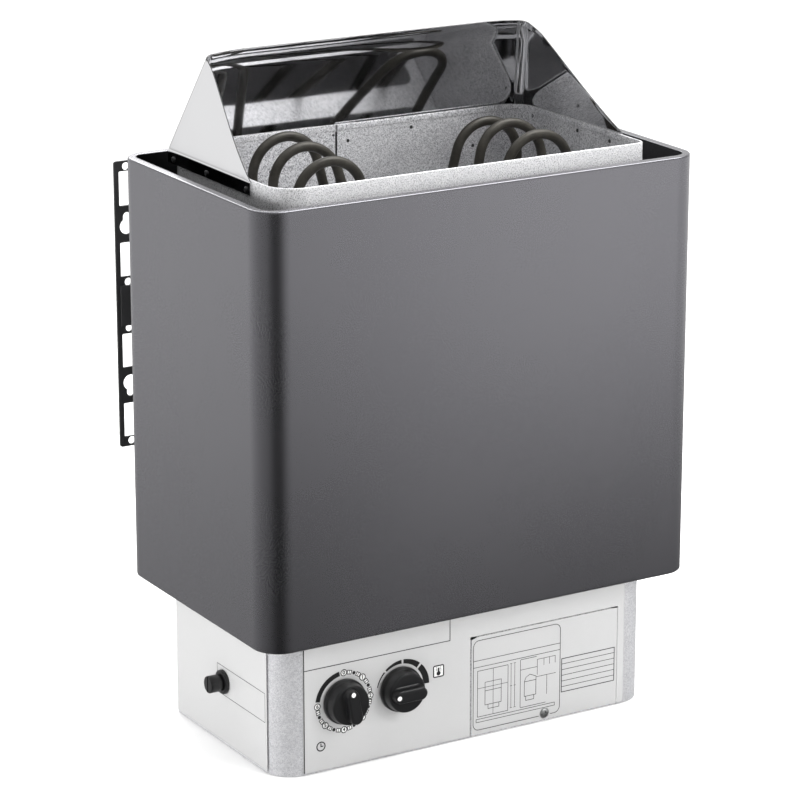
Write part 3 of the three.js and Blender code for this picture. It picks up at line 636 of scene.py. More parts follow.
# ------------------------------------------------------------------ stone chamber
def liner():
    lx, f, b, r, rs, z0, z1, t = 171.0, -108.5, 81.5, 25.0, 8.0, 185.0, 485.5, 1.0
    step = 1.3  # the right end laps inside the left end

    def arc(cx, cy, rad, start, n=12):
        return [((cx + rad * math.cos(math.radians(start + 90 * k / n))), (cy + rad * math.sin(math.radians(start + 90 * k / n))),
                 math.cos(math.radians(start + 90 * k / n)), math.sin(math.radians(start + 90 * k / n))) for k in range(n + 1)]

    path = [(6, b, 0, 1), (-4, b, 0, 1), (-12, b, 0, 1), (-24, b, 0, 1), (-40, b, 0, 1), (-lx + r + 2, b, 0, 1)]
    path += arc(-lx + r, b - r, r, 90)
    path += [(-lx, b - r - 2, -1, 0), (-lx, 0, -1, 0), (-lx, f + r + 2, -1, 0)]
    path += arc(-lx + r, f + r, r, 180)
    path += [(-lx + r + 2, f, 0, -1), (0, f, 0, -1), (lx - rs - 1, f, 0, -1)]
    path += arc(lx - rs, f + rs, rs, 270)
    path += [(lx, f + rs + 1, 1, 0), (lx, 0, 1, 0), (lx, b - r - step - 2, 1, 0)]
    path += arc(lx - r, b - r - step, r, 0)
    path += [(lx - r - 2, b - step, 0, 1), (60, b - step, 0, 1), (8, b - step, 0, 1), (-11.4, b - step, 0, 1), (-12, b - step, 0, 1)]
    hem = [0.0, 0.0, 0.0, 0.0, 1.0] + [1.0] * (len(path) - 5)

    def section(h):
        w = t + 0.75 * h
        return [(0, z0), (0, 240), (0, 420), (0, z1 - 0.8), (0.12 * w, z1 - 0.35), (0.3 * w, z1 - 0.08), (0.5 * w, z1), (0.7 * w, z1 - 0.08),
                (0.88 * w, z1 - 0.35), (w, z1 - 0.8), (w, z1 - 4.7), (w - 0.1 * h, z1 - 5.1), (w - 0.35 * h, z1 - 5.3),
                (t, z1 - 5.45), (t, z1 - 6.2), (t, 420), (t, 240), (t, z0)]

    cols = [[(px - nx * d, py - ny * d, z) for d, z in section(h)] for (px, py, nx, ny), h in zip(path, hem)]
    s = Shape().grid(cols, closed_cols=True, caps=True)
    outer = rounded_rect(-lx + 1.2, lx - 1.2, f + 1.2, b - 2.6, (23.8, 7, 23.8, 23.8), 8, 1)
    inner = rounded_rect(-lx + 12, lx - 12, f + 12, b - 12, 14, 8, 1)
    s.plate([outer, inner], 369.0, 370.2, 0.2, lambda u, v, w: (u, v, w))

    ob = piece("chamber_wrap", s, "galvanised", replaces="stone_liner", angle=40, material=CHAMBER_STEEL)

    # small fasteners along the lap and round the walls, seen from inside the chamber, and a painted shadow strip beside
    # the lap
    heads = Shape()

    def head(point, normal, rad=1.5, high=0.45):
        n = Vector(normal)
        a = n.orthogonal().normalized()
        c = n.cross(a)
        prof = [(0, 0.5 * high), (0.3 * rad, 0.55 * high), (0.45 * rad, high), (0.75 * rad, 0.9 * high), (0.95 * rad, 0.5 * high), (rad, 0.0), (0.9 * rad, -0.2), (0, -0.2)]
        heads.lathe(prof, lambda u, v, d: tuple(Vector(point) + a * u + c * v + n * d), 20)

    for sx, sz in ((-1.7, 470.6), (-1.7, 420), (60, 475.4), (121.5, 452.5), (60, 400), (121, 400)):
        head((sx, b - step - t - (0.75 if sz > 480 else 0), sz), (0, -1, 0))
    for sx, sz in ((-15.2, 476.5), (-75, 452), (-121, 420)):
        head((sx, b - t, sz), (0, -1, 0), 1.1 if sx > -20 else 1.5)
    for yy in (60, -9, -57):
        head((lx - t, yy, 476.6), (-1, 0, 0), 1.7, 0.8)
    for yy in (66, 9, -57):
        head((-lx + t, yy, 476.6), (1, 0, 0), 1.7, 0.8)
    # painted shadow: a thin near-black strip along the lap stands in for the shade in the gap beside the lapped sheet
    # edge
    lap_shadow_strip = [(-13.3, b - t + 0.1), (-11.9, b - t + 0.1), (-11.9, b - t - 0.2), (-12.2, b - t - 0.28), (-13.0, b - t - 0.28), (-13.3, b - t - 0.2)]
    heads.grid([[(px, py, z) for px, py in lap_shadow_strip] for z in (372.5, 400, 440, 479)], closed_cols=True, caps=True)
    piece("chamber_fasteners_and_lap_shadow", heads, "zinc_steel", material=DARK_RIVET_AND_LAP_SHADE)
    return ob


liner()


def chamber_floor():
    z = 370.5
    loops = [rounded_rect(-169, 169, -106.5, 77.5, 22, 8, 1)]
    loops += [rounded_rect(-157, 157, -64, -25, 10, 10, 0), rounded_rect(-157, 157, -3, 36, 10, 10, 0)]
    s = Shape().plate(loops, z, z + 1.5, 0.25, lambda u, v, w: (u, v, w))
    return piece("chamber_floor", s, "galvanised", replaces="stone_floor")


chamber_floor()


# ------------------------------------------------------------------ splash guard
def guard():
    gx, gb, r, t, bottom, bend = 172.3, 82.8, 9.0, 0.9, 473.0, 483.0
    lean_x, lean_y, top = {-1: 0.2590, 1: 0.2130}, 0.3964, 565.0

    def past(z):  # height above the bend, rounded where the sheet turns
        h = z - bend
        return 0.5 * (h + math.sqrt(h * h + 1.1)) - 0.5 * (math.sqrt(100 + 1.1) - 10) * max(0.0, min(1.0, -h / 10))

    def x_at(z, d, sign):
        return gx - d - lean_x[sign] * past(z)

    def y_at(z, d):
        return gb - d - lean_y * past(z)

    drop = [563.2, 563.0, 562.7, 562.3, 561.7, 561.0, 560.2]
    tips = {-1: -63.5, 1: -78.5}
    wings = {-1: [(38.5, 557.6), (34.0, 555.2), (28.0, 551.0)], 1: [(34.5, 557.3), (27.5, 554.2), (19.6, 548.9)]}
    n_fold = 12

    def fold(sign, k, z, d):
        a = math.pi / 2 - (math.pi / 2) * k / n_fold
        q = r - d
        return (sign * (x_at(z, d, sign) - q + q * math.cos(a)), y_at(z, d) - q + q * math.sin(a), z)

    # one column of the sheet: a top height and a rule for its points
    def half(sign):
        cols = []
        span = 112.0
        for k in range(0, 8):
            x = span * k / 8
            cols.append((top, lambda z, d, x=x: (sign * x, y_at(z, d), z)))
        for k in range(0, 9):
            u = k / 8
            zt = top - (top - drop[0]) * u * u

            def at(z, d, u=u):
                edge = x_at(z, d, sign) - (r - d)
                return (sign * (span + (edge - span) * u), y_at(z, d), z)

            if k == 8:
                cols.append((top - (top - drop[0]) * 0.96, lambda z, d: (sign * (x_at(z, d, sign) - (r - d) - 1.2), y_at(z, d), z)))
            cols.append((zt, at))
        for k in range(1, n_fold + 1):
            u = k / n_fold * 6
            i = min(5, int(u))
            zt = drop[i] + (drop[i + 1] - drop[i]) * (u - i)
            cols.append((zt, lambda z, d, k=k: fold(sign, k, z, d)))
        # along the wing, y falls from the fold to the tip
        w = wings[sign]
        outline = [(None, drop[6])] + w + [(tips[sign], bend + 0.7)]
        y_fold = gb - lean_y * past(drop[6]) - r
        ys = [y_fold] + [p[0] for p in w] + [tips[sign]]
        zs = [drop[6]] + [p[1] for p in w] + [bend + 0.7]

        def z_at(y):
            for a in range(len(ys) - 1):
                if ys[a] >= y >= ys[a + 1]:
                    return zs[a] + (zs[a + 1] - zs[a]) * (ys[a] - y) / (ys[a] - ys[a + 1])
            return zs[-1]

        steps = [0.03, 0.12, 0.25, 0.4, 0.55, 0.7, 0.85, 1.0]
        fan = [y_fold + (w[2][0] - y_fold) * s_ for s_ in steps] + [w[2][0] + (tips[sign] - w[2][0]) * k / 14 for k in range(1, 15)]
        for y in fan:
            share = (y_fold - y) / (y_fold - tips[sign])

            def at(z, d, share=share, y=y):
                start = y_at(z, d) - (r - d)
                end = tips[sign]
                yy = start + (end - start) * share if z < bend else y + (start - y_fold) * (1 - share) * max(0.0, 1 - (z - bend) / 70)
                return (sign * x_at(z, d, sign), yy, z)

            cols.append((z_at(y), at))
        return cols

    def heights(zt):
        low = [bottom, bottom + 5, bend - 4, bend - 2.4, bend - 1.4, bend - 0.7]
        if zt - bend < 1.2:
            return low + [bend + (zt - bend) * u for u in (0.0, 0.15, 0.3, 0.45, 0.6, 0.75, 0.87, 0.95, 1.0)]
        near = [0.0, 0.06, 0.11, 0.18] if zt - bend < 12 else [0.0, 0.7 / (zt - bend), 1.5 / (zt - bend), 3.0 / (zt - bend)]
        rest = [near[-1] + (1 - near[-1]) * u for u in (0.25, 0.5, 0.75, 0.97, 1.0)]
        return low + [bend + (zt - bend) * u for u in near + rest]

    columns = list(reversed(half(-1))) + half(1)[1:]
    # the upper edge is folded over inwards
    def inside(zt, rule):
        hs = heights(zt)
        hem = min(5.5, 0.3 * (zt - bend))
        w = t * (1 + 0.45 * max(0.0, min(1.0, (zt - 556) / 6)))
        body = [rule(min(z, zt - hem - 0.25), t) for z in hs[:-2]]
        return body + [rule(zt - hem - 0.2, t), rule(zt - hem, 0.5 * (t + w)), rule(zt - hem + 0.35, w), rule(zt - 0.35, w), rule(zt, 0.75 * w)]

    outer = [[rule(z, 0.0) for z in heights(zt)[:-1]] + [rule(zt - 0.25, 0.0), rule(zt, 0.25)] for zt, rule in columns]
    inner = [inside(zt, rule) for zt, rule in columns]
    rows = []
    for o, i in zip(outer, inner):
        rows.append(o + i[::-1])
    s = Shape().grid(rows, closed_cols=True, caps=True)
    return piece("splash_guard", s, "polished_steel", replaces="heat_guard", angle=38)


guard()

for side, sign, ys in (("left", -1, (66, 9, -57)), ("right", 1, (60, -9, -57))):
    for i, y in enumerate(ys):
        gx = 172.3
        prof = [(0, 170.4), (1.6, 170.4), (1.6, gx + 0.2), (2.5, gx + 0.2), (2.6, gx + 0.35), (2.4, gx + 0.7), (1.9, gx + 1.0), (1.3, gx + 1.15),
                (0.9, gx + 1.1), (0.7, gx + 0.8), (0, gx + 0.7)]
        s = Shape().lathe(prof, lambda u, v, d, y=y, sign=sign: (sign * d, y + u, 476.6 + v), 32)
        piece(f"blind_rivet_{side}_{i + 1}", s, "zinc_steel", replaces=f"guard_rivet_{side}_{i + 1}", material=DARK_RIVET_AND_LAP_SHADE)


# ------------------------------------------------------------------ heating elements
def route(points, n=12):
    """Points (x, y, z) or (x, y, z, bend radius) as a smooth path."""
    out = [Vector(points[0][:3])]
    for a, b, c in zip(points, points[1:], points[2:]):
        p, q, r = Vector(a[:3]), Vector(b[:3]), Vector(c[:3])
        if len(b) < 4:
            out.append(q)
            continue
        e0, e1 = (p - q).normalized(), (r - q).normalized()
        ang = e0.angle(e1)
        cut = b[3] / math.tan(ang / 2)
        centre = q + (e0 + e1).normalized() * (b[3] / math.sin(ang / 2))
        start, end = q + e0 * cut, q + e1 * cut
        u = (start - centre)
        v = (end - centre)
        total = u.angle(v)
        for k in range(n + 1):
            s = k / n
            w = (u * math.sin((1 - s) * total) + v * math.sin(s * total)) / math.sin(total)
            out.append(centre + w)
    out.append(Vector(points[-1][:3]))
    clean = [out[0]]
    for p in out[1:]:
        if (p - clean[-1]).length > 0.05:
            clean.append(p)
    return clean


def bent(sign, xo, r, k, y, z, foot, tilt=362):
    """One arch: the upright outer leg, the bow and the inner leg that leans to the middle."""
    xi = 98 - r / math.hypot(1, k) + k * (r - r * k / math.hypot(1, k))
    low = [] if foot == y else [(sign * xo, foot, tilt, 40)]
    back = [] if foot == y else [(sign * (xi - k * (z - tilt)), foot, tilt, 40)]
    return low + [(sign * xo, y, z, r), (sign * xi, y, z, r)] + back, xi


for name, yl, yr, zl, zr, fl, fr in (("front", -58.5, -58.5, 491, 491, -58.5, -58.5), ("middle", -18, -14, 495, 492, -31, -31), ("rear", 13, 20, 497.5, 487.5, 13, 20)):
    xo, r, lean = 128.5, 30.5, 0.28
    bow_l, xi = bent(-1, xo, r, lean, yl, zl, fl)
    bow_r, xi = bent(1, xo, r, lean, yr, zr, fr)
    path = route([(-xo, fl, 131), *bow_l, (0, (fl + fr) / 2, (zl + zr) / 2 - xi / lean, 18), *bow_r[::-1], (xo, fr, 131)], 14)
    s = Shape().sweep(path, 4.1, 24)
    for x, y in ((-xo, fl), (xo, fr)):
        s.lathe([(0, 110), (1.7, 110), (2.0, 110.4), (2.0, 131.5), (0, 131.5)], lambda u, v, d, x=x, y=y: (x + u, y + v, d), 20)
    piece(f"heating_tube_{name}", s, "element_sheath", replaces=f"element_{name}")
    for side, x, y in (("left", -xo, fl), ("right", xo, fr)):
        top = 151.5
        prof = [(4.4, top - 6), (5.8, top - 6), (6, top - 5.6), (6, top + 0.3), (8.6, top + 0.3), (9, top + 0.7), (9, top + 3.2), (8.6, top + 3.9), (7.4, top + 4.6), (4.8, top + 4.6), (4.4, top + 4.2)]
        piece(f"bush_{name}_{side}", Shape().lathe(prof, lambda u, v, d, x=x, y=y: (x + u, y + v, d), 32), "ceramic", replaces=f"element_bush_{name}_{side}")


# ------------------------------------------------------------------ control box
BX, BF, BB = 179.5, -113.1, 64.2


def control_box():
    def ring(d, z):
        return [(px, py, z) for px, py in rounded_rect(-BX + d, BX - d, BF + d, BB - d, (25 - d, 25 - d, 2.4 - d, 2.4 - d), 14)]

    rows = [ring(0.25, 0), ring(0, 0.25), ring(0, 4), ring(0, 40), ring(0, 80), ring(0, 120), ring(0, 149.75), ring(0.25, 150), ring(0.95, 150), ring(1.2, 149.75), ring(1.2, 75), ring(1.2, 0.25), ring(0.95, 0)]
    s = Shape().grid(rows, closed_rows=True, closed_cols=True)
    ob = piece("control_box_wrap", s, "galvanised", replaces="control_box", angle=40, material=BOX_STEEL)
    cuts = [block(1.5, 148, BF - 4, BF + 3, -5, 88.8)]
    for x in (-119.8, -66.8):
        cuts.append(Shape().lathe([(0, BF - 4), (5.5, BF - 4), (5.5, BF + 4), (0, BF + 4)], lambda u, v, d, x=x: (x + u, d, 58.2 + v), 24))
    cuts.append(Shape().lathe([(0, -BX - 4), (5.6, -BX - 4), (5.6, -BX + 4), (0, -BX + 4)], lambda u, v, d: (d, -22.1 + u, 55.9 + v), 24))
    cuts.append(Shape().lathe([(0, BB - 4), (8.5, BB - 4), (8.5, BB + 4), (0, BB + 4)], lambda u, v, d: (112 + u, d, 42 + v), 24))
    return carve(ob, *cuts, angle=40)


control_box()
softened("control_box_lid", "galvanised", 0.3)
softened("control_box_base", "galvanised", 0.3)
softened("service_hatch", "galvanised", 0.25)

for side in ("left", "right"):
    softened(f"liner_support_{side}", "galvanised", 0.3)
    for end in ("front", "rear"):
        softened(f"casing_spacer_{side}_{end}", "galvanised", 0.3)

# overlay sheets, each a thin plate with softly rounded edges
FILM_Y = BF - 0.3
s = Shape().plate([
    [(-157, 1.5), (1.3, 1.5), (1.3, 89.0), (147.95, 89.0), (147.95, 1.5), (154.6, 1.5), (154.6, 118), (-157, 118)],
    circle(-119.8, 58.2, 6), circle(-66.8, 58.2, 6)], 0.0, 0.4, 0.12, front(FILM_Y))
piece("overlay_front", s, "silver_film", replaces="front_film")
s = Shape().plate([[(2.6, 1.5), (147.65, 1.5), (147.65, 87.6), (143.6, 88.0), (142.4, 88.1), (8.0, 88.1), (2.6, 86.2)], circle(75, 7, 4.6)], 0.0, 0.4, 0.12, front(FILM_Y))
piece("overlay_hatch", s, "silver_film", replaces="hatch_film")
s = Shape().plate([rounded_rect(-95, 62, 2.5, 118, 1.2, 5, 0), circle(-22.1, 55.9, 6.2)], 0.0, 0.4, 0.12, left(-BX - 0.3))
piece("overlay_side", s, "silver_film", replaces="side_film")

# pan-head screw with a cross recess
s = Shape().lathe([(0, -2.7), (1.2, -2.65), (2.4, -2.4), (3.4, -1.95), (4.0, -1.35), (4.2, -0.75), (4.2, -0.3), (1.75, -0.3), (1.75, 9), (0, 9)],
                  lambda u, v, d: (75 + u, BF + d, 7 + v), 40)
screw = piece("hatch_pan_screw", s, "zinc_steel", replaces="hatch_screw")
carve(screw, block(75 - 2.3, 75 + 2.3, BF - 4, BF - 1.5, 7 - 0.5, 7 + 0.5), block(75 - 0.5, 75 + 0.5, BF - 4, BF - 1.5, 7 - 2.3, 7 + 2.3))


# ------------------------------------------------------------------ knobs
def knob(name, cx, rest):
    y0, z0 = -114.6, 58.2
    ca, sa = math.cos(math.radians(rest)), math.sin(math.radians(rest))

    def place(u, v, d):  # u along the pointer, d out of the panel
        return (cx + u * ca - v * sa, y0 - d, z0 + u * sa + v * ca)

    s = Shape()
    s.lathe([(3.35, 0), (18.6, 0), (19.0, 0.2), (19.2, 0.6), (19.2, 3.0), (19.05, 3.7), (18.6, 4.3), (18.0, 4.7), (17.75, 5.0), (17.6, 5.6),
             (17.3, 8.0), (17.0, 11.2), (16.85, 11.9), (16.5, 12.5), (15.9, 12.9), (15.2, 13.0), (6, 13.0), (3.35, 13.0)], place, 96)

    def stadium(w, half, d, n=14):
        pts = []
        for k in range(n + 1):
            a = -math.pi / 2 + math.pi * k / n
            pts.append(place(half - w + w * math.cos(a), w * math.sin(a), d))
        for k in range(n + 1):
            a = math.pi / 2 + math.pi * k / n
            pts.append(place(-half + w + w * math.cos(a), w * math.sin(a), d))
        return pts

    levels = [(7.6, 15.4, 9.0), (7.6, 15.4, 12.6), (6.9, 15.4, 13.0), (6.3, 15.3, 13.6), (5.9, 15.15, 14.5), (5.7, 15.05, 15.8), (5.55, 14.95, 17.6),
              (5.45, 14.9, 18.6), (5.2, 14.65, 19.3), (4.8, 14.25, 19.75), (4.2, 13.65, 20.0), (2.4, 11.85, 20.0)]
    s.grid([stadium(w, h, d) for w, h, d in levels], closed_cols=True, caps=True)
    ob = piece(f"{name}_grip", s, "black_plastic", body=f"{name}_knob", replaces=f"{name}_knob", angle=34)

    dot = Shape().lathe([(0, 19.5), (1.95, 19.5), (2.05, 19.9), (1.9, 20.1), (1.4, 20.16), (0, 20.18)], lambda u, v, d: place(12.0 + u, v, d), 32)
    piece(f"{name}_pointer_dot", dot, None, body=f"{name}_knob", material=INK_WHITE)
    return ob


knob("timer", -119.8, 100)
knob("thermostat", -66.8, 180)

# ------------------------------------------------------------------ reset button
RY, RZ = -22.1, 55.9
side_place = lambda u, v, d: (d, RY + u, RZ + v)
s = Shape().lathe([(2.1, -168), (5, -168), (5, -180.5), (10.0, -180.5), (10.3, -180.8), (10.3, -182.3), (10.1, -183.0), (9.5, -183.5), (8.8, -183.7), (5, -183.7), (5, -190.5), (2.1, -190.5)], side_place, 64)
piece("reset_collar", s, "black_plastic", replaces="reset_bush")
s = Shape().lathe([(0, -195.3), (6.3, -195.3), (6.8, -195.2), (7.15, -194.85), (7.3, -194.3), (7.3, -184.4), (7.1, -184.0), (5.4, -184.0), (5.4, -193.4), (0, -193.4)], side_place, 64)
cap = piece("reset_cover", s, "black_plastic", body="reset_cap", replaces="reset_cap")
carve(cap, block(-197, -194.2, RY - 0.75, RY + 0.75, RZ - 9, RZ + 9))
s = Shape().lathe([(0, -192.3), (1.5, -192.3), (1.75, -192.05), (1.75, -170.4), (0, -170.4)], side_place, 32)
piece("reset_pin", s, "ceramic", body="reset_plunger", replaces="reset_plunger")


# ------------------------------------------------------------------ printed marks
def sector(cx, cz, r0, r1, a0, a1, n=24, r0b=None, r1b=None):
    """Ring segment from angle a0 to a1, its radii changing evenly to r0b and r1b."""
    r0b, r1b = r0 if r0b is None else r0b, r1 if r1b is None else r1b
    lo, hi = [], []
    for k in range(n + 1):
        u = k / n
        a = math.radians(a0 + (a1 - a0) * u)
        lo.append((cx + (r0 + (r0b - r0) * u) * math.cos(a), cz + (r0 + (r0b - r0) * u) * math.sin(a)))
        hi.append((cx + (r1 + (r1b - r1) * u) * math.cos(a), cz + (r1 + (r1b - r1) * u) * math.sin(a)))
    return hi + lo[::-1]


def framed(x0, x1, z0, z1, r, w):
    """Outline of a rounded box as a loop with a hole."""
    return [rounded_rect(x0, x1, z0, z1, r, 6, 0), rounded_rect(x0 + w, x1 - w, z0 + w, z1 - w, max(0.05, r - w), 6, 0)]


def bar(x0, z0, x1, z1, w):
    d = Vector((x1 - x0, z1 - z0)).normalized()
    n = Vector((-d.y, d.x)) * (w / 2)
    return [(x0 + n.x, z0 + n.y), (x0 - n.x, z0 - n.y), (x1 - n.x, z1 - n.y), (x1 + n.x, z1 + n.y)]


def ribbon(path, w):
    """Line of width w along an open path."""
    p = [Vector(q) for q in path]
    lo, hi = [], []
    for i, q in enumerate(p):
        d = (p[min(i + 1, len(p) - 1)] - p[max(i - 1, 0)]).normalized()
        n = Vector((-d.y, d.x)) * (w / 2)
        hi.append(tuple(q + n))
        lo.append(tuple(q - n))
    return hi + lo[::-1]


class Print(Shape):
    def __init__(self, place, height=0.035):
        super().__init__()
        self.place, self.height = place, height

    def mark(self, *loops):
        return self.plate(list(loops), -0.02, self.height, 0, self.place)


FACE = front(FILM_Y - 0.4)
black, white = Print(FACE), Print(FACE, 0.014)

# timer scale: a black band from the end back to zero, numbered rings, dots and small boxes between them
TX, TZ, TR = -119.2, 57.4, 24.7
black.mark(sector(TX, TZ, 22.6, 26.8, 99, 171, 30))
digits = []
for k in range(7):
    a = math.radians(90 - 45 * k)
    x, z = TX + TR * math.cos(a), TZ + TR * math.sin(a)
    black.mark(circle(x, z, 3.05, 28), circle(x, z, 2.25, 28))
    white.mark(circle(x, z, 2.6, 28))
    digits.append((str(k), x, z))
    if k < 6:
        m = 90 - 45 * k - 22.5
        mx, mz = TX + TR * math.cos(math.radians(m)), TZ + TR * math.sin(math.radians(m))
        black.mark(circle(mx, mz, 1.5, 24))
        for a0, a1 in ((m + 15.4, m + 5.2), (m - 5.2, m - 15.4)):
            outer = sector(TX, TZ, 22.8, 26.6, a0, a1, 6)
            shrink = 1.6 if a0 > a1 else -1.6
            inner = sector(TX, TZ, 23.45, 25.95, a0 - shrink, a1 + shrink, 6)
            black.mark(outer, inner)
            white.mark(sector(TX, TZ, 23.1, 26.3, a0 - shrink / 2, a1 + shrink / 2, 6))
            mid = (a0 + a1) / 2
            black.mark(sector(TX, TZ, 23.2, 26.2, mid + 0.65, mid - 0.65, 2))

# thermostat scale: four segments that widen clockwise
HX, HZ = -63.7, 57.3
for a0, a1, r0, r1, r0b, r1b in ((168, 135, 24.1, 24.95, 23.7, 25.1), (131, 92.8, 23.2, 25.15, 21.9, 25.25), (88.6, 49.5, 21.6, 25.25, 20.2, 25.25), (45, 0, 19.9, 25.25, 19.4, 25.25)):
    black.mark(sector(HX, HZ, r0, r1, a0, a1, 20, r0b, r1b))

# thermometer symbol in a rounded box
black.mark(*framed(-34.8, -24.1, 60.2, 71.0, 1.6, 1.1))
white.mark(rounded_rect(-34.2, -24.7, 60.8, 70.4, 1.2, 5, 0))
black.mark(circle(-29.45, 63.7, 1.95, 24))
black.mark(bar(-29.45, 63.9, -29.45, 68.6, 1.7))
for z in (66.2, 67.5, 68.8):
    black.mark(bar(-28.0, z, -26.8, z, 0.5))
    black.mark(bar(-32.1, z, -30.9, z, 0.5))

# clock symbol
black.mark(circle(-140.8, 22.5, 4.3, 36), circle(-140.8, 22.5, 3.25, 36))
black.mark(bar(-140.8, 22.0, -140.8, 25.2, 0.95))
black.mark(bar(-141.2, 22.5, -138.6, 22.5, 0.95))

# plain frame line in the upper left of the front, and a dark line of the same black down the film's left edge
black.mark(bar(-156.2, 90.2, -18.3, 90.2, 0.7))
black.mark(bar(-18.6, 90.0, -18.6, 117.6, 0.7))
black.mark(bar(-156.25, 1.9, -156.25, 117.6, 0.95))

# hatch: rounded frame with two outline drawings over an empty strip, and an empty table beside it
def bend(cx, cz, r, a0, n=7):
    return [(cx + r * math.cos(math.radians(a0 + 90 * k / n)), cz + r * math.sin(math.radians(a0 + 90 * k / n))) for k in range(n + 1)]


FRAME = [(80.6, 5.4), *bend(84.6, 10.9, 5.5, 270), *bend(84.6, 79.2, 5.5, 0), *bend(9.8, 79.2, 5.5, 90), *bend(9.8, 10.9, 5.5, 180), (69.4, 5.4)]
black.mark(ribbon(FRAME, 0.6))
black.mark(bar(4.5, 67.0, 89.9, 67.0, 0.5))
black.mark(bar(4.5, 61.2, 89.9, 61.2, 0.5))
black.mark(*framed(7.0, 85.2, 12.0, 15.2, 0.3, 0.5))
black.mark(*framed(8.2, 38.6, 16.8, 58.0, 0.3, 0.5))
black.mark(*framed(15.6, 32.0, 26.2, 39.2, 0.3, 0.5))
black.mark(*framed(18.6, 29.8, 22.4, 26.7, 0.3, 0.5))
black.mark(*framed(15.6, 32.0, 38.7, 46.8, 0.3, 0.45))
black.mark(bar(23.8, 17.0, 23.8, 57.8, 0.4))
black.mark(bar(8.4, 42.2, 38.4, 42.2, 0.4))
for x in (41.4, 45.0):
    black.mark(bar(x, 18.6, x, 58.4, 0.42))
    for z in (18.8, 38.4, 58.2):
        black.mark(bar(x - 1.1, z, x + 1.1, z, 0.4))
black.mark(ribbon([(66.6, 59.6), (66.2, 59.6), (51.0, 59.6), (50.6, 59.2), (50.6, 17.2), (51.0, 16.8), (76.0, 16.8)], 0.5))
black.mark(*framed(54.4, 66.4, 25.8, 39.4, 0.3, 0.5))
black.mark(*framed(55.9, 64.4, 22.0, 26.3, 0.3, 0.5))
black.mark(ribbon([(54.7, 39.2), (56.2, 43.0), (60.2, 45.0), (66.2, 42.2), (66.2, 39.2)], 0.5))
black.mark(bar(66.2, 41.4, 86.0, 41.4, 0.42))
black.mark(bar(50.8, 50.4, 67.4, 50.4, 0.42))
black.mark(bar(67.4, 43.0, 67.4, 57.0, 0.42))
black.mark(bar(67.4, 56.8, 85.4, 56.8, 0.42))
for x in (74.0, 79.5, 85.2):
    black.mark(bar(x, 50.6, x, 56.8, 0.42))
black.mark(bar(77.0, 24.0, 77.0, 41.2, 0.42))
black.mark(*framed(91.4, 145.4, 22.2, 52.8, 0.3, 0.72))
for i in range(1, 6):
    z = 22.2 + 30.6 * i / 6
    black.mark(bar(91.6, z, 145.2, z, 0.5))

for n, (text, x, z) in enumerate(digits):
    cu = bpy.data.curves.new("digit", "FONT")
    cu.body, cu.size, cu.align_x, cu.align_y = text, 0.0046, "CENTER", "CENTER"
    cu.extrude = 0.00002
    cu.offset = 0.00014
    tmp = bpy.data.objects.new("digit", cu)
    scene.collection.objects.link(tmp)
    dg = bpy.context.evaluated_depsgraph_get()
    me = bpy.data.meshes.new_from_object(tmp.evaluated_get(dg), depsgraph=dg)
    bpy.data.objects.remove(tmp)
    verts = [(x + v.co.x * 1000, FILM_Y - 0.4 - 0.012 - v.co.z * 1000, z + v.co.y * 1000) for v in me.vertices]
    black.add(verts, [tuple(p.vertices) for p in me.polygons])

piece("front_print", black, None, material=INK, angle=30)
piece("front_print_ground", white, None, material=INK_WHITE, angle=30)

# side overlay: an empty outlined field behind the reset button
side_print = Print(left(-BX - 0.7))
side_print.mark(*framed(-92.6, -10.5, 43.6, 69.2, 0.6, 0.6))
piece("side_print", side_print, None, material=INK_GREY, angle=30)


# ------------------------------------------------------------------ cable inlet
def gland():
    at = lambda u, v, d: (112 + u, BB + d, 42 + v)
    s = Shape().lathe([(5, -12), (7.6, -12), (8, -11.6), (8, 0.3), (10.4, 0.3), (10.5, 5.8), (10.2, 6.2), (5, 6.2)], at, 48)

    def ring(rad, d, n=6, round_=0.0):
        pts = []
        for k in range(n):
            for j in range(4):
                a = TAU * (k + (j - 1.5) * 0.10) / n
                pts.append(at(rad * math.cos(a) * (1 - round_), rad * math.sin(a) * (1 - round_), d))
        return pts

    s.grid([ring(12.4, 0.3), ring(13, 0.8), ring(13, 4.6), ring(12.4, 5.1)], closed_cols=True, caps=True)
    rows = []
    for d, rad in ((6.2, 10.4), (7, 10.9), (13.5, 10.7), (15.5, 10.2), (17.5, 9.2), (19, 7.8)):
        rows.append([at((rad + (0.35 if k % 4 < 2 and d < 14 else 0)) * math.cos(TAU * k / 72), (rad + (0.35 if k % 4 < 2 and d < 14 else 0)) * math.sin(TAU * k / 72), d) for k in range(72)])
    for d, rad in ((19, 5.6), (18.6, 5.2), (6.2, 5.1)):
        rows.append([at(rad * math.cos(TAU * k / 72), rad * math.sin(TAU * k / 72), d) for k in range(72)])
    s.grid(rows, closed_rows=True, closed_cols=True)
    return piece("cable_inlet", s, "black_plastic", replaces="cable_gland", angle=34)


gland()


# ------------------------------------------------------------------ wall rack
def keyhole(x, zc, zs, big=6.6, small=3.5):
    """Round entry at zc with a narrow end at zs."""
    s = 1 if zs > zc else -1
    a = math.asin(small / big)
    pts = []
    start, end = math.pi / 2 + a, math.pi / 2 - a + TAU
    for k in range(25):
        t = start + (end - start) * k / 24
        pts.append((x + big * math.cos(t), zc + s * big * math.sin(t)))
    for k in range(13):
        t = math.pi * k / 12
        pts.append((x + small * math.cos(t), zs + s * small * math.sin(t)))
    return pts


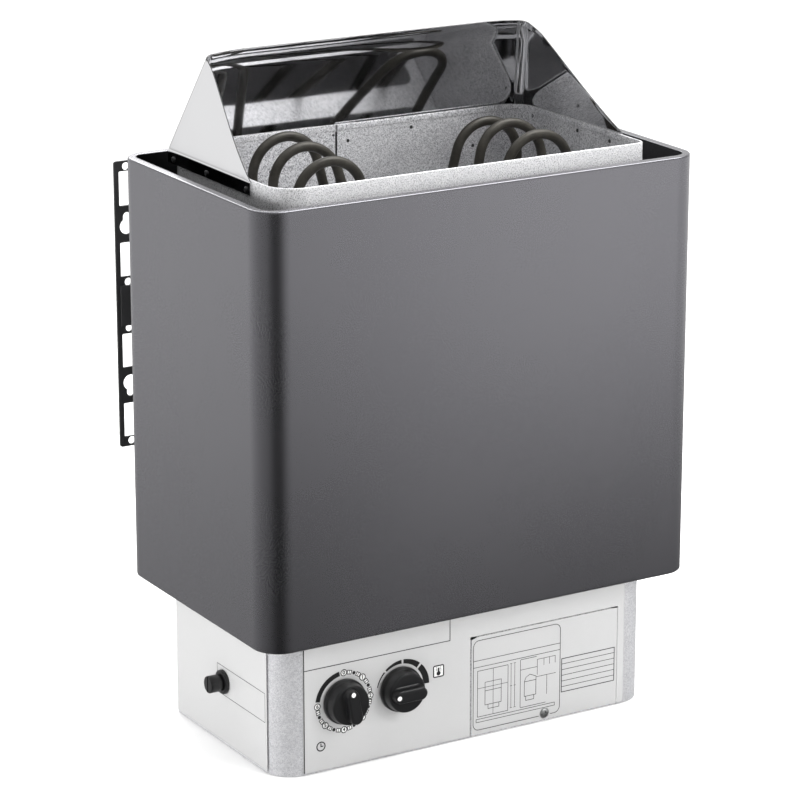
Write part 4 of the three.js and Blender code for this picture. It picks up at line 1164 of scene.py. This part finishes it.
for side, sign in (("left", -1), ("right", 1)):
    x, mid = sign * 180, 339.5
    loops = [rounded_rect(x - 11, x + 11, 216, 463, 2.5, 6, 0)]
    for sgn in (-1, 1):
        for d in (118.6, 19.9):
            loops.append(circle(x, mid + sgn * d, 3.3, 24))
        for a, b in ((85.4, 114.6), (24.9, 53.9)):
            lo, hi = sorted((mid + sgn * a, mid + sgn * b))
            loops.append(rounded_rect(x - 6.6, x + 6.6, lo, hi, 0.8, 4, 0))
        loops.append(keyhole(x, mid + sgn * 67.5, mid + sgn * 76))
    s = Shape().plate(loops, 0, 2, 0.3, lambda u, v, w: (u, 138 + w, v))
    piece(f"rack_rail_{side}", s, "rack_paint", replaces=f"rack_strip_{side}")
    softened(f"hanger_{side}", "rack_paint", 0.3)
    at = lambda u, v, d, sign=sign: (sign * 90 + u, 124 + d, 340 + v)
    s = Shape().lathe([(0, -4.6), (3.9, -4.6), (4.4, -4.3), (4.6, -3.8), (4.6, -0.3), (2.5, -0.3), (2.5, 9.7), (2.2, 10), (0, 10)], at, 40)
    sc = piece(f"lock_bolt_{side}", s, "zinc_steel", replaces=f"lock_screw_{side}")
    hexa = Shape()
    hexa.grid([[at(2.3 * math.cos(TAU * k / 6), 2.3 * math.sin(TAU * k / 6), d) for k in range(6)] for d in (-6, -2.2)], closed_cols=True, caps=True)
    carve(sc, hexa)
    softened(f"lock_nut_{side}", "zinc_steel", 0.35)
softened("rack_bar", "rack_paint", 0.3)

# ------------------------------------------------------------------ floor and light
def plane(name, cx, cy, sx, sy, z, material):
    me = bpy.data.meshes.new(name)
    me.from_pydata([(cx - sx, cy - sy, z), (cx + sx, cy - sy, z), (cx + sx, cy + sy, z), (cx - sx, cy + sy, z)], [], [(0, 1, 2, 3)])
    ob = bpy.data.objects.new(name, me)
    scene.collection.objects.link(ob)
    me.materials.append(material)
    return ob


floor_mat = Mat("floor", g(0.99), 0.9, 0.0, 0.0)
fn = floor_mat.noise(3, 2, 0.5)
floor_mat.color(floor_mat.ramp(fn, (0.3, g(0.988)), (0.7, g(0.996))))
floor_mat.b.inputs["Emission Color"].default_value = (1, 1, 1, 1)
floor_mat.b.inputs["Emission Strength"].default_value = 0.09
floor = plane("floor", 0, 0, 30, 30, -0.0005, floor_mat.m)
floor.visible_glossy = False


def sheen_card():
    """What glossy surfaces see in place of the floor: a soft sweep, darker near the object and in a gap straight ahead."""
    m = bpy.data.materials.new("sheen_card")
    m.use_nodes = True
    t = m.node_tree
    t.nodes.clear()

    def node(kind, **kw):
        n = t.nodes.new(kind)
        for k, v in kw.items():
            setattr(n, k, v)
        return n

    def calc(op, *args):
        n = node("ShaderNodeMath", operation=op)
        for i, v in enumerate(args):
            if isinstance(v, (int, float)):
                n.inputs[i].default_value = v
            else:
                t.links.new(v, n.inputs[i])
        return n.outputs["Value"]

    def ease(value, lo, hi, to_lo, to_hi):
        n = node("ShaderNodeMapRange", interpolation_type="SMOOTHSTEP")
        for key, v in (("From Min", lo), ("From Max", hi), ("To Min", to_lo), ("To Max", to_hi)):
            n.inputs[key].default_value = v
        t.links.new(value, n.inputs["Value"])
        return n.outputs["Result"]

    def sweep(value, *stops):
        n = node("ShaderNodeValToRGB")
        e = n.color_ramp.elements
        while len(e) < len(stops):
            e.new(0.5)
        for el, (p, v) in zip(e, stops):
            el.position, el.color = p, (v, v, v, 1)
        t.links.new(value, n.inputs["Fac"])
        return n.outputs["Color"]

    tc = node("ShaderNodeTexCoord")
    sep = node("ShaderNodeSeparateXYZ")
    t.links.new(tc.outputs["Object"], sep.inputs["Vector"])
    x, y = sep.outputs["X"], sep.outputs["Y"]
    r = calc("SQRT", calc("ADD", calc("MULTIPLY", x, x), calc("MULTIPLY", y, y)))
    reach = calc("MULTIPLY", r, 0.25)
    ahead = sweep(reach, (0.04, 0.13), (0.10, 0.20), (0.14, 0.255), (0.25, 0.485), (0.35, 0.81), (0.52, 1.0), (0.8, 1.0))
    behind = sweep(reach, (0.04, 0.265), (0.10, 0.34), (0.14, 0.372), (0.25, 0.492), (0.35, 0.588), (0.52, 0.655), (0.8, 0.63))
    along = calc("DIVIDE", calc("SUBTRACT", calc("MULTIPLY", x, 0.51), calc("MULTIPLY", y, 0.86)), calc("MAXIMUM", r, 0.01))
    side = ease(along, -0.45, 0.45, 0.0, 1.0)
    az = calc("ARCTAN2", calc("ADD", x, 0.18), calc("MULTIPLY", calc("ADD", y, 0.12), -1.0))
    turn = calc("DIVIDE", calc("ADD", az, 2.618), 3.665)  # 0 to 1 for azimuths -150 to 60 degrees
    bearing = [(-150, 1.0), (-129, 0.86), (-105, 0.64), (-89, 0.52), (-59, 0.34), (-43, 0.13), (-33, 0.06), (-15, 0.05), (-3, 0.16), (15, 0.48), (28, 0.58),
               (32.5, 0.78), (35, 0.89), (37.5, 0.98), (41, 1.04), (45, 0.97), (49, 0.84), (54, 0.76), (60, 0.74)]
    gap = sweep(turn, *[((deg + 150) / 210, v / 1.04) for deg, v in bearing])
    n = node("ShaderNodeMix", data_type="FLOAT")
    t.links.new(side, n.inputs[0])
    t.links.new(behind, n.inputs[2])
    t.links.new(ahead, n.inputs[3])
    level = calc("MULTIPLY", calc("MULTIPLY", n.outputs[0], gap), 1.56)
    em = node("ShaderNodeEmission")
    t.links.new(level, em.inputs["Strength"])
    out = node("ShaderNodeOutputMaterial")
    t.links.new(em.outputs["Emission"], out.inputs["Surface"])
    card = plane("sheen_card", 0, 0, 30, 30, -0.002, m)
    card.visible_camera = card.visible_diffuse = card.visible_shadow = card.visible_transmission = card.visible_volume_scatter = False
    return card


sheen_card()

world = bpy.data.worlds.new("studio")
world.use_nodes = True
scene.world = world
world.node_tree.nodes["Background"].inputs["Color"].default_value = (1, 1, 1, 1)
wt = world.node_tree
w_dir = wt.nodes.new("ShaderNodeTexCoord")
w_sep = wt.nodes.new("ShaderNodeSeparateXYZ")
wt.links.new(w_dir.outputs["Generated"], w_sep.inputs["Vector"])
w_parts = []
for axis, kind, lo, hi, to_lo, to_hi in (("Z", "LINEAR", 0.0, 0.022, 0.60, 1.0), ("Y", "SMOOTHSTEP", -0.2, 0.7, 0.50, 1.0), ("Z", "SMOOTHSTEP", 0.45, 0.95, 1.0, 1.9)):
    w_map = wt.nodes.new("ShaderNodeMapRange")
    w_map.interpolation_type = kind
    for key, v in (("From Min", lo), ("From Max", hi), ("To Min", to_lo), ("To Max", to_hi)):
        w_map.inputs[key].default_value = v
    wt.links.new(w_sep.outputs[axis], w_map.inputs["Value"])
    w_parts.append(w_map.outputs["Result"])
level = w_parts[0]
for other in w_parts[1:]:
    w_mul = wt.nodes.new("ShaderNodeMath")
    w_mul.operation = "MULTIPLY"
    wt.links.new(level, w_mul.inputs[0])
    wt.links.new(other, w_mul.inputs[1])
    level = w_mul.outputs["Value"]
# less light from high on the left
w_dim = []
for axis, lo, hi in (("X", -0.1, -0.6), ("Z", 0.1, 0.35), ("Z", 0.8, 0.55)):
    w_map = wt.nodes.new("ShaderNodeMapRange")
    w_map.interpolation_type = "SMOOTHSTEP"
    for key, v in (("From Min", lo), ("From Max", hi), ("To Min", 0.0), ("To Max", 1.0)):
        w_map.inputs[key].default_value = v
    wt.links.new(w_sep.outputs[axis], w_map.inputs["Value"])
    w_dim.append(w_map.outputs["Result"])
for op, second in (("MULTIPLY", w_dim[1]), ("MULTIPLY", w_dim[2]), ("MULTIPLY", -0.72), ("ADD", 1.0), ("MULTIPLY", level)):
    w_mul = wt.nodes.new("ShaderNodeMath")
    w_mul.operation = op
    wt.links.new(w_dim[0], w_mul.inputs[0])
    if isinstance(second, float):
        w_mul.inputs[1].default_value = second
    else:
        wt.links.new(second, w_mul.inputs[1])
    w_dim[0] = w_mul.outputs["Value"]
wt.links.new(w_dim[0], wt.nodes["Background"].inputs["Strength"])

scene.view_settings.view_transform = "Standard"
scene.view_settings.look = "None"


def area(name, loc, target, sx, sy, power):
    d = bpy.data.lights.new(name, "AREA")
    d.shape, d.size, d.size_y, d.energy = "RECTANGLE", sx, sy, power
    ob = bpy.data.objects.new(name, d)
    scene.collection.objects.link(ob)
    ob.location = loc
    ob.rotation_mode = "QUATERNION"
    ob.rotation_quaternion = (Vector(target) - Vector(loc)).to_track_quat("-Z", "Y")
    return ob


area("top_soft", (0.95, -0.30, 2.3), (0, 0, 0.4), 1.6, 1.6, 45)
area("key_front", (1.25, -2.1, 1.3), (0, -0.05, 0.4), 1.4, 1.2, 44).visible_glossy = False
area("fill_left", (-2.0, 0.0, 0.38), (-0.2, 0, 0.2), 1.2, 0.9, 33).visible_glossy = False
area("rim_back", (0.42, 1.87, 1.52), (-0.2, 0, 0.48), 0.9, 0.85, 14)
